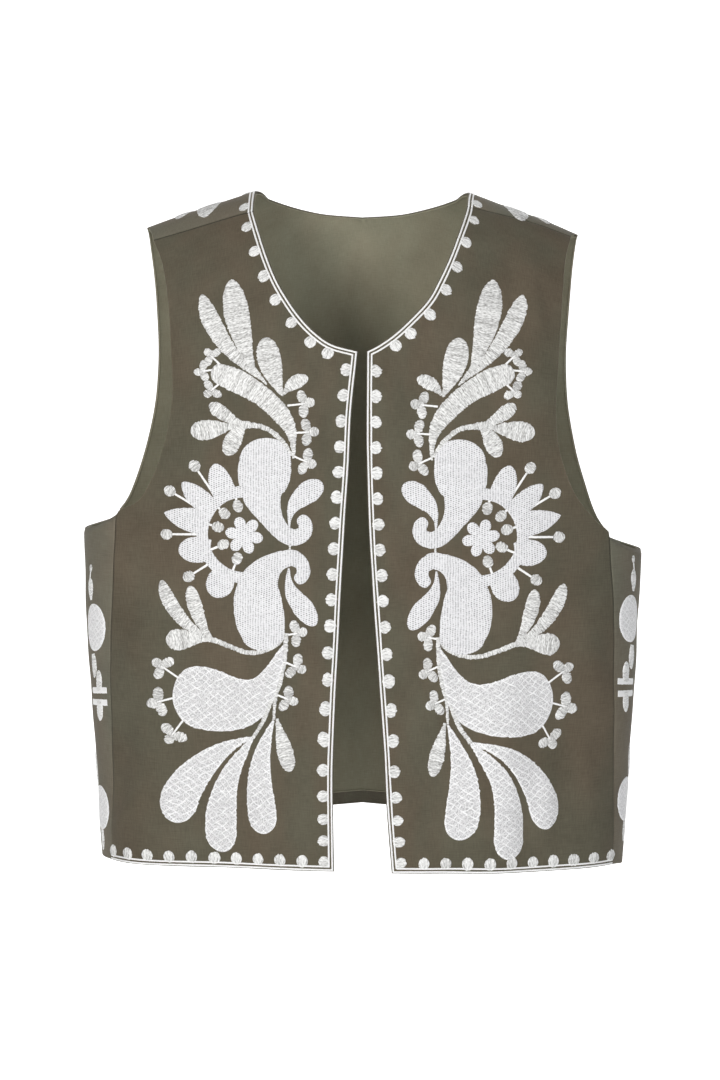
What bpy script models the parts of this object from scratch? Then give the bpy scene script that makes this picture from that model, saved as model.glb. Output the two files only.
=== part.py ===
"""Short folk vest, worn open: two fronts, a back that wraps forward over the shoulders and round
the sides, and the back's lining. Metres, +Z up, the front faces -Y and +X is the wearer's left.
The origin lies between the shoulders, where the vest hangs on its wearer."""

import math

import bmesh
import bpy

# Cloth: wall thicknesses and the gap between sewn pieces
FRONT_WALL = 0.0016
BACK_WALL = 0.0014
LINING_WALL = 0.0010
SEAM_GAP = 0.00032
NARROW_STRIP = 0.003

# The hollow body that the vest is filled out to: a rounded oval at each height.
# height, half width, front depth, back depth
BODY_SECTIONS = (
    (-0.530, 0.2050, 0.104, 0.106),
    (-0.455, 0.2092, 0.105, 0.105),
    (-0.390, 0.2135, 0.107, 0.104),
    (-0.340, 0.2160, 0.109, 0.106),
    (-0.260, 0.2182, 0.110, 0.109),
    (-0.150, 0.2150, 0.108, 0.110),
    (0.050, 0.2100, 0.105, 0.108),
)
OVAL_POWER = 2.3

# Above these heights the front and the back lean in to meet on the ridge of the shoulders
FRONT_LEAN = -0.230
BACK_LEAN = -0.200
LEAN_SPAN = 0.220
RIDGE_PEAK = 0.0207
RIDGE_ROUNDING = 0.040

# Each side as it hangs: sign of x, shoulder slope, lowest point of the armhole
SIDES = {
    "right": {"sign": -1.0, "slope": 0.360, "armhole_low": -0.2610},
    "left": {"sign": 1.0, "slope": 0.400, "armhole_low": -0.2775},
}
ARMHOLE_LOW_TURN = math.radians(91.7)
ARMHOLE_DIP = 0.060
ARMHOLE_DIP_AT_ENDS = 0.450
BACK_CORNER_TURN = math.radians(106.0)
UNDERARM_AT_BACK = -0.245
CORNER_SHARE = 0.04
SIDE_STRIP_WIDTH = 0.135

# Open front edge: height, distance from the centre line on the right and on the left
FRONT_EDGE = (
    (-0.530, 0.0212, 0.0232),
    (-0.470, 0.0222, 0.0184),
    (-0.420, 0.0217, 0.0156),
    (-0.345, 0.0181, 0.0103),
    (-0.270, 0.0142, 0.0053),
    (-0.210, 0.0103, 0.0030),
    (-0.165, 0.0080, 0.0026),
    (-0.120, 0.0034, 0.0030),
)

# Front neck from the corner up to the shoulder seam: height, half width on the right and left
FRONT_NECK = (
    (-0.1207, 0.0034, 0.0030),
    (-0.1160, 0.0215, 0.0120),
    (-0.1085, 0.0335, 0.0228),
    (-0.0970, 0.0452, 0.0355),
    (-0.0825, 0.0560, 0.0492),
    (-0.0675, 0.0648, 0.0578),
    (-0.0500, 0.0722, 0.0660),
    (-0.0335, 0.0780, 0.0725),
    (-0.0150, 0.0838, 0.0795),
    (-0.0080, 0.0852, 0.0812),
)

# Back neck from the centre to the ridge: half width, height
BACK_NECK = (
    (0.0000, -0.0172),
    (0.0300, -0.0152),
    (0.0470, -0.0120),
    (0.0620, -0.0078),
    (0.0745, -0.0035),
)
NECK_ON_RIDGE = 0.0832

# Shoulder seam, forward of the ridge: height at the neck and at the armhole
SHOULDER_SEAM = {"right": (-0.0150, -0.0368), "left": (-0.0100, -0.0340)}
SHOULDER_TIP = 0.1615
RIDGE_TIP = 0.1682

# Front armhole: share of the way up from the side seam, half width on the right and left
FRONT_ARMHOLE = (
    (0.000, 0.1887, 0.1932),
    (0.055, 0.1712, 0.1790),
    (0.140, 0.1600, 0.1628),
    (0.230, 0.1530, 0.1538),
    (0.330, 0.1476, 0.1480),
    (0.430, 0.1446, 0.1466),
    (0.570, 0.1446, 0.1482),
    (0.740, 0.1471, 0.1512),
    (0.840, 0.1503, 0.1536),
    (0.930, 0.1548, 0.1565),
    (1.000, 0.1615, 0.1615),
)

# Back armhole: share of the way up from the underarm corner to the ridge, half width
BACK_ARMHOLE = (
    (0.000, 0.1985),
    (0.060, 0.1890),
    (0.160, 0.1806),
    (0.280, 0.1728),
    (0.400, 0.1672),
    (0.500, 0.1646),
    (0.610, 0.1637),
    (0.730, 0.1645),
    (0.840, 0.1660),
    (1.000, 0.1682),
)

# Side seam, forward of the side: height, half width
SIDE_SEAM = (
    (-0.530, 0.1948),
    (-0.345, 0.1940),
    (-0.245, 0.1890),
)

# Hem round the body: angle from the centre front, height on the right and on the left
HEM = (
    (0.0, -0.5155, -0.5170),
    (12.0, -0.5155, -0.5172),
    (45.0, -0.5145, -0.5185),
    (78.0, -0.5172, -0.5212),
    (92.0, -0.5192, -0.5262),
    (125.0, -0.5110, -0.5150),
    (155.0, -0.4995, -0.5010),
    (180.0, -0.4955, -0.4955),
)
HEM_TURN_UP = 0.0105

# Largest soft folds: panel, x at the hem, x at the top, low end, high end, half width, height out
FOLDS = (
    ("front", -0.176, -0.150, -0.560, -0.400, 0.020, 0.0040),
    ("front", -0.110, -0.118, -0.570, -0.330, 0.030, -0.0035),
    ("front", -0.058, -0.070, -0.575, -0.300, 0.026, 0.0030),
    ("front", 0.068, 0.074, -0.575, -0.330, 0.022, -0.0035),
    ("front", 0.096, 0.108, -0.575, -0.300, 0.022, 0.0050),
    ("front", 0.158, 0.150, -0.570, -0.380, 0.024, -0.0030),
    ("front", -0.132, -0.122, -0.190, -0.045, 0.018, 0.0022),
    ("front", 0.136, 0.124, -0.200, -0.045, 0.018, 0.0026),
    ("back", -0.120, -0.105, -0.570, -0.250, 0.034, 0.0040),
    ("back", -0.040, -0.030, -0.570, -0.230, 0.030, -0.0035),
    ("back", 0.055, 0.045, -0.570, -0.240, 0.032, 0.0040),
    ("back", 0.135, 0.120, -0.570, -0.270, 0.030, -0.0030),
    ("back", -0.118, -0.136, -0.230, -0.060, 0.022, 0.0025),
    ("back", 0.118, 0.138, -0.230, -0.060, 0.022, 0.0025),
)

# Cells of the cloth: across, and up beside the side seam, the front edge or centre, and the neck
FRONT_ACROSS = 12
FRONT_UP = {"side": 12, "edge": 8, "neck": 10}
BACK_ACROSS = 9
BACK_ROUND_SIDE = 6
BACK_UP = {"side": 12, "centre": 9, "neck": 9}

# Cloth colours, linear: front, back, lining
FRONT_COLOUR = (0.110, 0.098, 0.070, 1.0)
BACK_COLOUR = (0.120, 0.112, 0.080, 1.0)
LINING_COLOUR = (0.150, 0.145, 0.102, 1.0)
CLOTH_ROUGHNESS = 0.85


def smooth_table(rows, key, column):
    """Value of one column where the first column equals key, on a smooth curve through the rows."""
    if key <= rows[0][0]:
        return rows[0][column]
    if key >= rows[-1][0]:
        return rows[-1][column]
    index = next(i for i in range(len(rows) - 1) if key <= rows[i + 1][0])
    before = rows[max(index - 1, 0)]
    start = rows[index]
    end = rows[index + 1]
    after = rows[min(index + 2, len(rows) - 1)]
    step = end[0] - start[0]
    slope_in = (end[column] - before[column]) / (end[0] - before[0])
    slope_out = (after[column] - start[column]) / (after[0] - start[0])
    t = (key - start[0]) / step
    return (
        start[column] * (2 * t**3 - 3 * t**2 + 1)
        + end[column] * (3 * t**2 - 2 * t**3)
        + slope_in * step * (t**3 - 2 * t**2 + t)
        + slope_out * step * (t**3 - t**2)
    )


def side_column(side):
    """Column of a table that has one value for the right and one for the left."""
    return 1 if side == "right" else 2


def ridge_height(side, out):
    """Height of the shoulder ridge at a distance out from the centre line."""
    run = math.hypot(out, RIDGE_ROUNDING) - RIDGE_ROUNDING
    return RIDGE_PEAK - SIDES[side]["slope"] * run


def fold_out(face, x, z):
    """How far the soft folds push the cloth out at a place."""
    out = 0.0
    for panel, x_hem, x_top, low, high, half_width, height in FOLDS:
        if panel != face or not low < z < high:
            continue
        climb = (z - low) / (high - low)
        middle = x_hem + (x_top - x_hem) * climb
        across = math.exp(-(((x - middle) / half_width) ** 2))
        out += height * across * math.sin(math.pi * climb) ** 0.8
    return out


def form_point(side, turn, climb):
    """Point of the outer surface. turn is the angle from the centre front (0) to the centre
    back (pi). climb is the height, and above the lean it runs on up and over the ridge."""
    face = "front" if turn < math.pi / 2 else "back"
    lean = FRONT_LEAN if face == "front" else BACK_LEAN
    depth_column = 2 if face == "front" else 3
    rise = max(0.0, climb - lean) / LEAN_SPAN
    z = min(climb, lean)
    for _ in range(5):
        half_width = smooth_table(BODY_SECTIONS, z, 1)
        depth = smooth_table(BODY_SECTIONS, z, depth_column)
        reach = (math.sin(turn) / half_width) ** OVAL_POWER
        reach += (abs(math.cos(turn)) / depth) ** OVAL_POWER
        radius = reach ** (-1.0 / OVAL_POWER)
        out = radius * math.sin(turn)
        if rise > 0.0:
            base = lean if rise <= math.pi / 2 else FRONT_LEAN
            z = base + (ridge_height(side, out) - base) * math.sin(rise)
    radius += fold_out(face, SIDES[side]["sign"] * out, z)
    if rise > math.pi / 2:
        radius *= smooth_table(BODY_SECTIONS, z, 2) / smooth_table(BODY_SECTIONS, z, 3)
    x = SIDES[side]["sign"] * (out if rise > math.pi / 2 else radius * math.sin(turn))
    y = -radius * math.cos(turn) * math.cos(rise)
    return x, y, z


def turn_at(face, out, z):
    """Angle from the centre front of a point at a distance out from the centre line."""
    half_width = smooth_table(BODY_SECTIONS, z, 1)
    depth = smooth_table(BODY_SECTIONS, z, 2 if face == "front" else 3)
    deep = depth * max(0.0, 1.0 - (out / half_width) ** OVAL_POWER) ** (1.0 / OVAL_POWER)
    angle = math.atan2(out, deep)
    return angle if face == "front" else math.pi - angle


def climb_at(face, side, out, z):
    """Climb of a point at a height, on the front or on the back."""
    lean = FRONT_LEAN if face == "front" else BACK_LEAN
    if z <= lean:
        return z
    share = min(1.0, (z - lean) / (ridge_height(side, out) - lean))
    return lean + LEAN_SPAN * math.asin(share)


def place(face, side, out, z):
    """Turn and climb of a point known by its distance out and its height."""
    return turn_at(face, out, z), climb_at(face, side, out, z)


def over_ridge(side, out, z):
    """Turn and climb, on the back piece, of a point that lies forward of the ridge."""
    share = min(1.0, (z - FRONT_LEAN) / (ridge_height(side, out) - FRONT_LEAN))
    return turn_at("back", out, z), BACK_LEAN + LEAN_SPAN * (math.pi - math.asin(share))


def spaced(path, count, narrow_end=False):
    """count + 1 points evenly spaced along a path of (turn, climb) points. With narrow_end the
    last cell is only as wide as the strip beside a seam."""
    radius = 0.15
    lengths = [0.0]
    for a, b in zip(path, path[1:]):
        lengths.append(lengths[-1] + math.hypot((b[0] - a[0]) * radius, b[1] - a[1]))
    total = lengths[-1]
    if narrow_end:
        stops = [(total - NARROW_STRIP) * i / (count - 1) for i in range(count)] + [total]
    else:
        stops = [total * i / count for i in range(count + 1)]
    points = []
    for stop in stops:
        index = next((i for i in range(len(path) - 2) if stop <= lengths[i + 1]), len(path) - 2)
        span = lengths[index + 1] - lengths[index]
        share = (stop - lengths[index]) / span
        a, b = path[index], path[index + 1]
        points.append((a[0] + (b[0] - a[0]) * share, a[1] + (b[1] - a[1]) * share))
    return points


def sweep(function, start, end, steps=40):
    """Fine path of a function between two values."""
    return [function(start + (end - start) * i / steps) for i in range(steps + 1)]


def hem_height(side, turn):
    """Height of the hem at an angle from the centre front."""
    return smooth_table(HEM, math.degrees(turn), side_column(side))


def seam_turn(z, gap_side=0):
    """Angle of the side seam at a height. gap_side -1 or 1 moves it off the seam, to the front's
    or the back's own edge."""
    half_width = smooth_table(SIDE_SEAM, z, 1)
    return turn_at("front", half_width, z) + gap_side * SEAM_GAP / 2 / half_width


def armhole_bottom(side, turn):
    """Climb of the armhole's edge where it passes under the arm."""
    away = turn - ARMHOLE_LOW_TURN
    return SIDES[side]["armhole_low"] + ARMHOLE_DIP * away**2 + ARMHOLE_DIP_AT_ENDS * away**4


def seam_top(side):
    """Height of the side seam's upper end."""
    height = SIDES[side]["armhole_low"]
    for _ in range(4):
        height = armhole_bottom(side, seam_turn(height))
    return height


def front_edge(side, z):
    """Turn and climb on the open front edge at a height."""
    return place("front", side, smooth_table(FRONT_EDGE, z, side_column(side)), z)


def front_neck(side, z):
    """Turn and climb on the front neck at a height."""
    return place("front", side, smooth_table(FRONT_NECK, z, side_column(side)), z)


def front_armhole(side, share):
    """Turn and climb on the front's armhole, share of the way from side seam to shoulder seam."""
    low = seam_top(side)
    z = low + (SHOULDER_SEAM[side][1] - low) * share
    turn, climb = place("front", side, smooth_table(FRONT_ARMHOLE, share, side_column(side)), z)
    to_corner = max(0.0, 1.0 - share / CORNER_SHARE)
    return turn + (seam_turn(low, -1) - turn) * to_corner, climb


def back_armhole(side, step):
    """Turn and climb on the back's armhole. The steps close up towards the ridge."""
    share = 1.0 - (1.0 - step) ** 2
    low = armhole_bottom(side, BACK_CORNER_TURN)
    z = low + (ridge_height(side, RIDGE_TIP) - low) * share
    turn, climb = place("back", side, smooth_table(BACK_ARMHOLE, share, 1), z)
    to_corner = max(0.0, 1.0 - share / CORNER_SHARE)
    return turn + (BACK_CORNER_TURN - turn) * to_corner, climb


def front_grid(side):
    """Rows of (turn, climb) over one front, from the hem to the shoulder seam."""
    corner = FRONT_NECK[0][0]
    split = seam_top(side)
    hem_in = hem_height(side, 0.0)
    hem_out = hem_height(side, seam_turn(hem_in))
    below = FRONT_UP["side"]
    inner = spaced(sweep(lambda z: front_edge(side, z), hem_in, split), below)
    inner += spaced(sweep(lambda z: front_edge(side, z), split, corner), FRONT_UP["edge"])[1:]
    neck = sweep(lambda z: front_neck(side, z), corner, SHOULDER_SEAM[side][0])
    inner += spaced(neck, FRONT_UP["neck"], True)[1:]
    outer = spaced(sweep(lambda z: (seam_turn(z, -1), z), hem_out, split), below)
    armhole = sweep(lambda share: front_armhole(side, share), 0.0, 1.0)
    outer += spaced(armhole, FRONT_UP["edge"] + FRONT_UP["neck"], True)[1:]
    rows = []
    for index, (a, b) in enumerate(zip(inner, outer)):
        bend_left = max(0.0, 1.0 - index / below) ** 2
        row = []
        for turn, climb in spaced([a, b], FRONT_ACROSS, True):
            share = (turn - a[0]) / (b[0] - a[0])
            turn_at_hem = inner[0][0] + (outer[0][0] - inner[0][0]) * share
            straight = inner[0][1] + (outer[0][1] - inner[0][1]) * share
            row.append((turn, climb + (hem_height(side, turn_at_hem) - straight) * bend_left))
        rows.append(row)
    rows[-1] = [(turn, climb - SEAM_GAP) for turn, climb in rows[-1]]
    return rows


def back_side_grid(side):
    """Rows over half of the back below the arm, from the centre back round to the side seam."""
    corner_climb = armhole_bottom(side, BACK_CORNER_TURN)
    across = [i / BACK_ACROSS for i in range(BACK_ACROSS + 1)]
    round_side = [i / BACK_ROUND_SIDE for i in range(1, BACK_ROUND_SIDE)]
    round_side += [1.0 - NARROW_STRIP / SIDE_STRIP_WIDTH, 1.0]
    rows = []
    for index in range(BACK_UP["side"] + 1):
        share = (index - 1) / (BACK_UP["side"] - 1)
        row = []
        for step in across:
            turn = math.pi + (BACK_CORNER_TURN - math.pi) * step
            top = UNDERARM_AT_BACK + (corner_climb - UNDERARM_AT_BACK) * step
            row.append((turn, climb_between(side, turn, top, share)))
        for step in round_side:
            climb = HEM[0][1]
            for _ in range(4):
                turn = BACK_CORNER_TURN + (seam_turn(climb, 1) - BACK_CORNER_TURN) * step
                climb = climb_between(side, turn, armhole_bottom(side, turn), share)
            row.append((turn, climb))
        rows.append(row)
    return rows


def climb_between(side, turn, top, share):
    """Height on the way from the turned-up hem to the top. A share below 0 is the hem itself."""
    hem = hem_height(side, turn)
    if share < 0.0:
        return hem
    return hem + HEM_TURN_UP + (top - hem - HEM_TURN_UP) * share


def back_neck_path(side):
    """Turn and climb along the back neck, from the centre over the ridge to the shoulder seam."""
    last = BACK_NECK[-1][0]
    path = sweep(lambda out: place("back", side, out, smooth_table(BACK_NECK, out, 1)), 0.0, last)
    path.append(place("back", side, NECK_ON_RIDGE, ridge_height(side, NECK_ON_RIDGE)))
    seam = SHOULDER_SEAM[side][0]
    path.append(over_ridge(side, smooth_table(FRONT_NECK, seam, side_column(side)), seam))
    return path


def back_top_grid(side):
    """Rows over half of the back above the arm's corner, over the ridge to the shoulder seam."""
    low = (math.pi, UNDERARM_AT_BACK)
    inner = spaced([low, place("back", side, 0.0, BACK_NECK[0][1])], BACK_UP["centre"])
    inner += spaced(back_neck_path(side), BACK_UP["neck"], True)[1:]
    armhole = sweep(lambda step: back_armhole(side, step), 0.0, 1.0)
    armhole.append(over_ridge(side, SHOULDER_TIP, SHOULDER_SEAM[side][1]))
    outer = spaced(armhole, BACK_UP["centre"] + BACK_UP["neck"], True)
    rows = [spaced([a, b], BACK_ACROSS) for a, b in zip(inner, outer)]
    rows[-1] = [(turn, climb - SEAM_GAP) for turn, climb in rows[-1]]
    return rows


def sheet_mesh(name, patches):
    """Open mesh of patches of rows. Patches share the points where they meet."""
    mesh = bpy.data.meshes.new(name)
    shape = bmesh.new()
    known = {}

    def vertex(side, spot):
        point = form_point(side, *spot)
        key = tuple(round(value, 6) for value in point)
        if key not in known:
            known[key] = shape.verts.new(point)
        return known[key]

    for side, face, rows in patches:
        outward = (side == "left") == (face == "front")
        for low, high in zip(rows, rows[1:]):
            for j in range(len(low) - 1):
                corners = [vertex(side, low[j]), vertex(side, low[j + 1]),
                           vertex(side, high[j + 1]), vertex(side, high[j])]
                shape.faces.new(corners if outward else corners[::-1])
    shape.normal_update()
    shape.to_mesh(mesh)
    shape.free()
    return mesh


def sink(mesh, depth):
    """Move an open mesh inward by a depth, along its own normals."""
    moves = [vertex.normal.copy() for vertex in mesh.vertices]
    for vertex, normal in zip(mesh.vertices, moves):
        vertex.co -= normal * depth


def cloth_material(name, colour):
    """Plain matt cloth."""
    material = bpy.data.materials.new(name)
    material.use_nodes = True
    shader = material.node_tree.nodes["Principled BSDF"]
    shader.inputs["Base Color"].default_value = colour
    shader.inputs["Roughness"].default_value = CLOTH_ROUGHNESS
    shader.inputs["Metallic"].default_value = 0.0
    return material


def add_cloth(collection, name, mesh, wall, colour):
    """Cloth piece: an open sheet made a wall that grows inward."""
    mesh.materials.append(cloth_material(name, colour))
    mesh.shade_smooth()
    piece = bpy.data.objects.new(name, mesh)
    collection.objects.link(piece)
    solid = piece.modifiers.new("wall", "SOLIDIFY")
    solid.thickness = wall
    solid.offset = -1.0
    return piece


def main():
    for old in list(bpy.data.objects):
        bpy.data.objects.remove(old)
    vest = bpy.data.collections.new("vest")
    bpy.context.scene.collection.children.link(vest)

    for side in SIDES:
        name = "front_" + side
        front = sheet_mesh(name, [(side, "front", front_grid(side))])
        add_cloth(vest, name, front, FRONT_WALL, FRONT_COLOUR)

    low = {side: back_side_grid(side) for side in SIDES}
    high = {side: back_top_grid(side) for side in SIDES}
    shell = [(side, "back", low[side]) for side in SIDES]
    shell += [(side, "back", high[side]) for side in SIDES]
    add_cloth(vest, "back", sheet_mesh("back", shell), BACK_WALL, BACK_COLOUR)

    inside = [(side, "back", low[side][1:]) for side in SIDES]
    inside += [(side, "back", high[side]) for side in SIDES]
    lining = sheet_mesh("back_lining", inside)
    sink(lining, BACK_WALL + SEAM_GAP)
    add_cloth(vest, "back_lining", lining, LINING_WALL, LINING_COLOUR)


main()
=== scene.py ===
"""Looks of the embroidered folk vest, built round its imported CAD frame. Metres, +Z up. The front
faces -Y, +X is the wearer's left, and the origin lies between the shoulders."""

import math

import bpy
import numpy as np
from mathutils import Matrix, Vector
from mathutils.kdtree import KDTree


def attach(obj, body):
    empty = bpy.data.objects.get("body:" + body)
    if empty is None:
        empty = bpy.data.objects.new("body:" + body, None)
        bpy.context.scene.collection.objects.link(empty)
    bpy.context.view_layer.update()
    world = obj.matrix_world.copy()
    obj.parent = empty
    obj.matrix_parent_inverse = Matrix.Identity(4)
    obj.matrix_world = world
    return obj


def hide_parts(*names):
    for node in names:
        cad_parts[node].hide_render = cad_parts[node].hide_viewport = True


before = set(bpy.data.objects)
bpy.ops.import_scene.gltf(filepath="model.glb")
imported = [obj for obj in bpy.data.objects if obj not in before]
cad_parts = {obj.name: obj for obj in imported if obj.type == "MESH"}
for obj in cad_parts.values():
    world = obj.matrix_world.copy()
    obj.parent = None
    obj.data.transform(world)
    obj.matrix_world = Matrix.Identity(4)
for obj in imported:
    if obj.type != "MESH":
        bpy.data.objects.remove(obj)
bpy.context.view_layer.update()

MM = 0.001
SEED = 41

# Camera: the photograph's view, nearly level from the front
CAMERA_TARGET = (-0.00196, 0.0, -0.271)
CAMERA_DISTANCE = 2.6
CAMERA_ELEVATION = math.radians(4.5)
CAMERA_LENS_MM = 110.4
CAMERA_SENSOR_MM = 36.0

# Studio: a floor that bends up into a backdrop, which glows above the floor
FLOOR_HEIGHT = -1.75
STAGE_FRONT = -6.0
STAGE_HALF_WIDTH = 5.0
BACKDROP_AT = 3.6
BACKDROP_TOP = 3.5
BACKDROP_BEND = 0.6
BEND_STEPS = 16
WHITE = (1.0, 1.0, 1.0, 1.0)
STAGE_WHITE = (0.93, 0.93, 0.93, 1.0)
STAGE_GLOW = 0.85
FLOOR_GLOW = 0.12
GLOW_FROM = -1.74
GLOW_FULL = -1.60
WORLD_STRENGTH = 0.20
# name, place, aims at, size, power, colour
SOFT_LIGHTS = (
    ("key", (-1.35, -2.6, 0.50), (0.0, 0.0, -0.25), 1.1, 48.0, (1.0, 0.99, 0.97)),
    ("fill", (1.25, -2.6, 0.20), (0.0, 0.0, -0.25), 1.3, 26.0, (0.98, 0.99, 1.0)),
    ("top", (0.0, -0.3, 2.0), (0.0, 0.0, -0.20), 1.0, 4.0, (1.0, 1.0, 1.0)),
    ("back", (0.6, 2.6, 1.0), (0.0, 0.0, -0.25), 1.6, 26.0, (1.0, 1.0, 1.0)),
)

# Walls of the cloth
FRONT_WALL = 0.0012
BACK_WALL = 0.0012
LINING_DEPTH = 0.00175
LINING_WALL = 0.0009
SEAM_GAP = 0.00015
EDGE_ROLL = 0.0013
EDGE_ROLL_DEPTH = 0.0008
EDGE_SAMPLE = 0.0005

# The hollow body that the vest is filled out to: height, half width, front depth, back depth
BODY_SECTIONS = (
    (-0.530, 0.2050, 0.104, 0.106),
    (-0.455, 0.2092, 0.105, 0.105),
    (-0.390, 0.2135, 0.107, 0.104),
    (-0.340, 0.2160, 0.109, 0.106),
    (-0.260, 0.2182, 0.110, 0.109),
    (-0.150, 0.2150, 0.108, 0.110),
    (0.050, 0.2100, 0.105, 0.108),
)
OVAL_POWER = 2.3

# Above these heights the front and the back lean in to meet on the ridge of the shoulders
FRONT_LEAN = -0.230
BACK_LEAN = -0.200
LEAN_SPAN = 0.220
RIDGE_PEAK = 0.0207
RIDGE_ROUNDING = 0.040

# Each side as it hangs: sign of x, shoulder slope, lowest point of the armhole, drop of the chart
SIDES = {
    "right": {"sign": -1.0, "slope": 0.360, "armhole_low": -0.2610, "drop": 0.0},
    "left": {"sign": 1.0, "slope": 0.400, "armhole_low": -0.2775, "drop": 0.0135},
}
DROP_FROM = 0.100
ARMHOLE_LOW_TURN = math.radians(91.7)
ARMHOLE_DIP = 0.060
ARMHOLE_DIP_AT_ENDS = 0.450
BACK_CORNER_TURN = math.radians(106.0)
UNDERARM_AT_BACK = -0.245
CORNER_SHARE = 0.04

# Open front edge: height, distance from the centre line on the right and on the left
FRONT_EDGE = (
    (-0.530, 0.0212, 0.0232),
    (-0.470, 0.0222, 0.0184),
    (-0.420, 0.0217, 0.0156),
    (-0.345, 0.0181, 0.0103),
    (-0.270, 0.0142, 0.0053),
    (-0.210, 0.0103, 0.0030),
    (-0.165, 0.0080, 0.0026),
    (-0.120, 0.0034, 0.0030),
)

# Front neck from the corner up to the shoulder seam: height, half width on the right and left
FRONT_NECK = (
    (-0.1207, 0.0034, 0.0030),
    (-0.1160, 0.0215, 0.0120),
    (-0.1085, 0.0335, 0.0228),
    (-0.0970, 0.0452, 0.0355),
    (-0.0825, 0.0560, 0.0492),
    (-0.0675, 0.0648, 0.0578),
    (-0.0500, 0.0722, 0.0660),
    (-0.0335, 0.0780, 0.0725),
    (-0.0150, 0.0838, 0.0795),
    (-0.0080, 0.0852, 0.0812),
)

# Back neck from the centre to the ridge: half width, height
BACK_NECK = (
    (0.0000, -0.0172),
    (0.0300, -0.0152),
    (0.0470, -0.0120),
    (0.0620, -0.0078),
    (0.0745, -0.0035),
)
NECK_ON_RIDGE = 0.0832

# Shoulder seam, forward of the ridge: height at the neck and at the armhole
SHOULDER_SEAM = {"right": (-0.0150, -0.0368), "left": (-0.0100, -0.0340)}
SHOULDER_TIP = 0.1615
RIDGE_TIP = 0.1682

# Front armhole: share of the way up from the side seam, half width on the right and left
FRONT_ARMHOLE = (
    (0.000, 0.1887, 0.1932),
    (0.055, 0.1712, 0.1790),
    (0.140, 0.1600, 0.1628),
    (0.230, 0.1530, 0.1538),
    (0.330, 0.1476, 0.1480),
    (0.430, 0.1446, 0.1466),
    (0.570, 0.1446, 0.1482),
    (0.740, 0.1471, 0.1512),
    (0.840, 0.1503, 0.1536),
    (0.930, 0.1548, 0.1565),
    (1.000, 0.1615, 0.1615),
)

# Back armhole: share of the way up from the underarm corner to the ridge, half width
BACK_ARMHOLE = (
    (0.000, 0.1985),
    (0.060, 0.1890),
    (0.160, 0.1806),
    (0.280, 0.1728),
    (0.400, 0.1672),
    (0.500, 0.1646),
    (0.610, 0.1637),
    (0.730, 0.1645),
    (0.840, 0.1660),
    (1.000, 0.1682),
)

# Side seam, forward of the side: height, half width
SIDE_SEAM = (
    (-0.530, 0.1948),
    (-0.345, 0.1940),
    (-0.245, 0.1890),
)

# Hem round the body: angle from the centre front, height on the right and on the left
HEM = (
    (0.0, -0.5155, -0.5170),
    (12.0, -0.5155, -0.5172),
    (45.0, -0.5145, -0.5185),
    (78.0, -0.5172, -0.5212),
    (92.0, -0.5192, -0.5262),
    (125.0, -0.5110, -0.5150),
    (155.0, -0.4995, -0.5010),
    (180.0, -0.4955, -0.4955),
)
HEM_TURN_UP = 0.0105

# Largest soft folds, which the solids have too: panel, x at the hem, x at the top, low end,
# high end, half width, height out
FOLDS = (
    ("front", -0.176, -0.150, -0.560, -0.400, 0.020, 0.0040),
    ("front", -0.110, -0.118, -0.570, -0.330, 0.030, -0.0035),
    ("front", -0.058, -0.070, -0.575, -0.300, 0.026, 0.0030),
    ("front", 0.068, 0.074, -0.575, -0.330, 0.022, -0.0035),
    ("front", 0.096, 0.108, -0.575, -0.300, 0.022, 0.0050),
    ("front", 0.158, 0.150, -0.570, -0.380, 0.024, -0.0030),
    ("front", -0.132, -0.122, -0.190, -0.045, 0.018, 0.0022),
    ("front", 0.136, 0.124, -0.200, -0.045, 0.018, 0.0026),
    ("back", -0.120, -0.105, -0.570, -0.250, 0.034, 0.0040),
    ("back", -0.040, -0.030, -0.570, -0.230, 0.030, -0.0035),
    ("back", 0.055, 0.045, -0.570, -0.240, 0.032, 0.0040),
    ("back", 0.135, 0.120, -0.570, -0.270, 0.030, -0.0030),
    ("back", -0.118, -0.136, -0.230, -0.060, 0.022, 0.0025),
    ("back", 0.118, 0.138, -0.230, -0.060, 0.022, 0.0025),
)
FOLD_FLATNESS = 0.8

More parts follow.
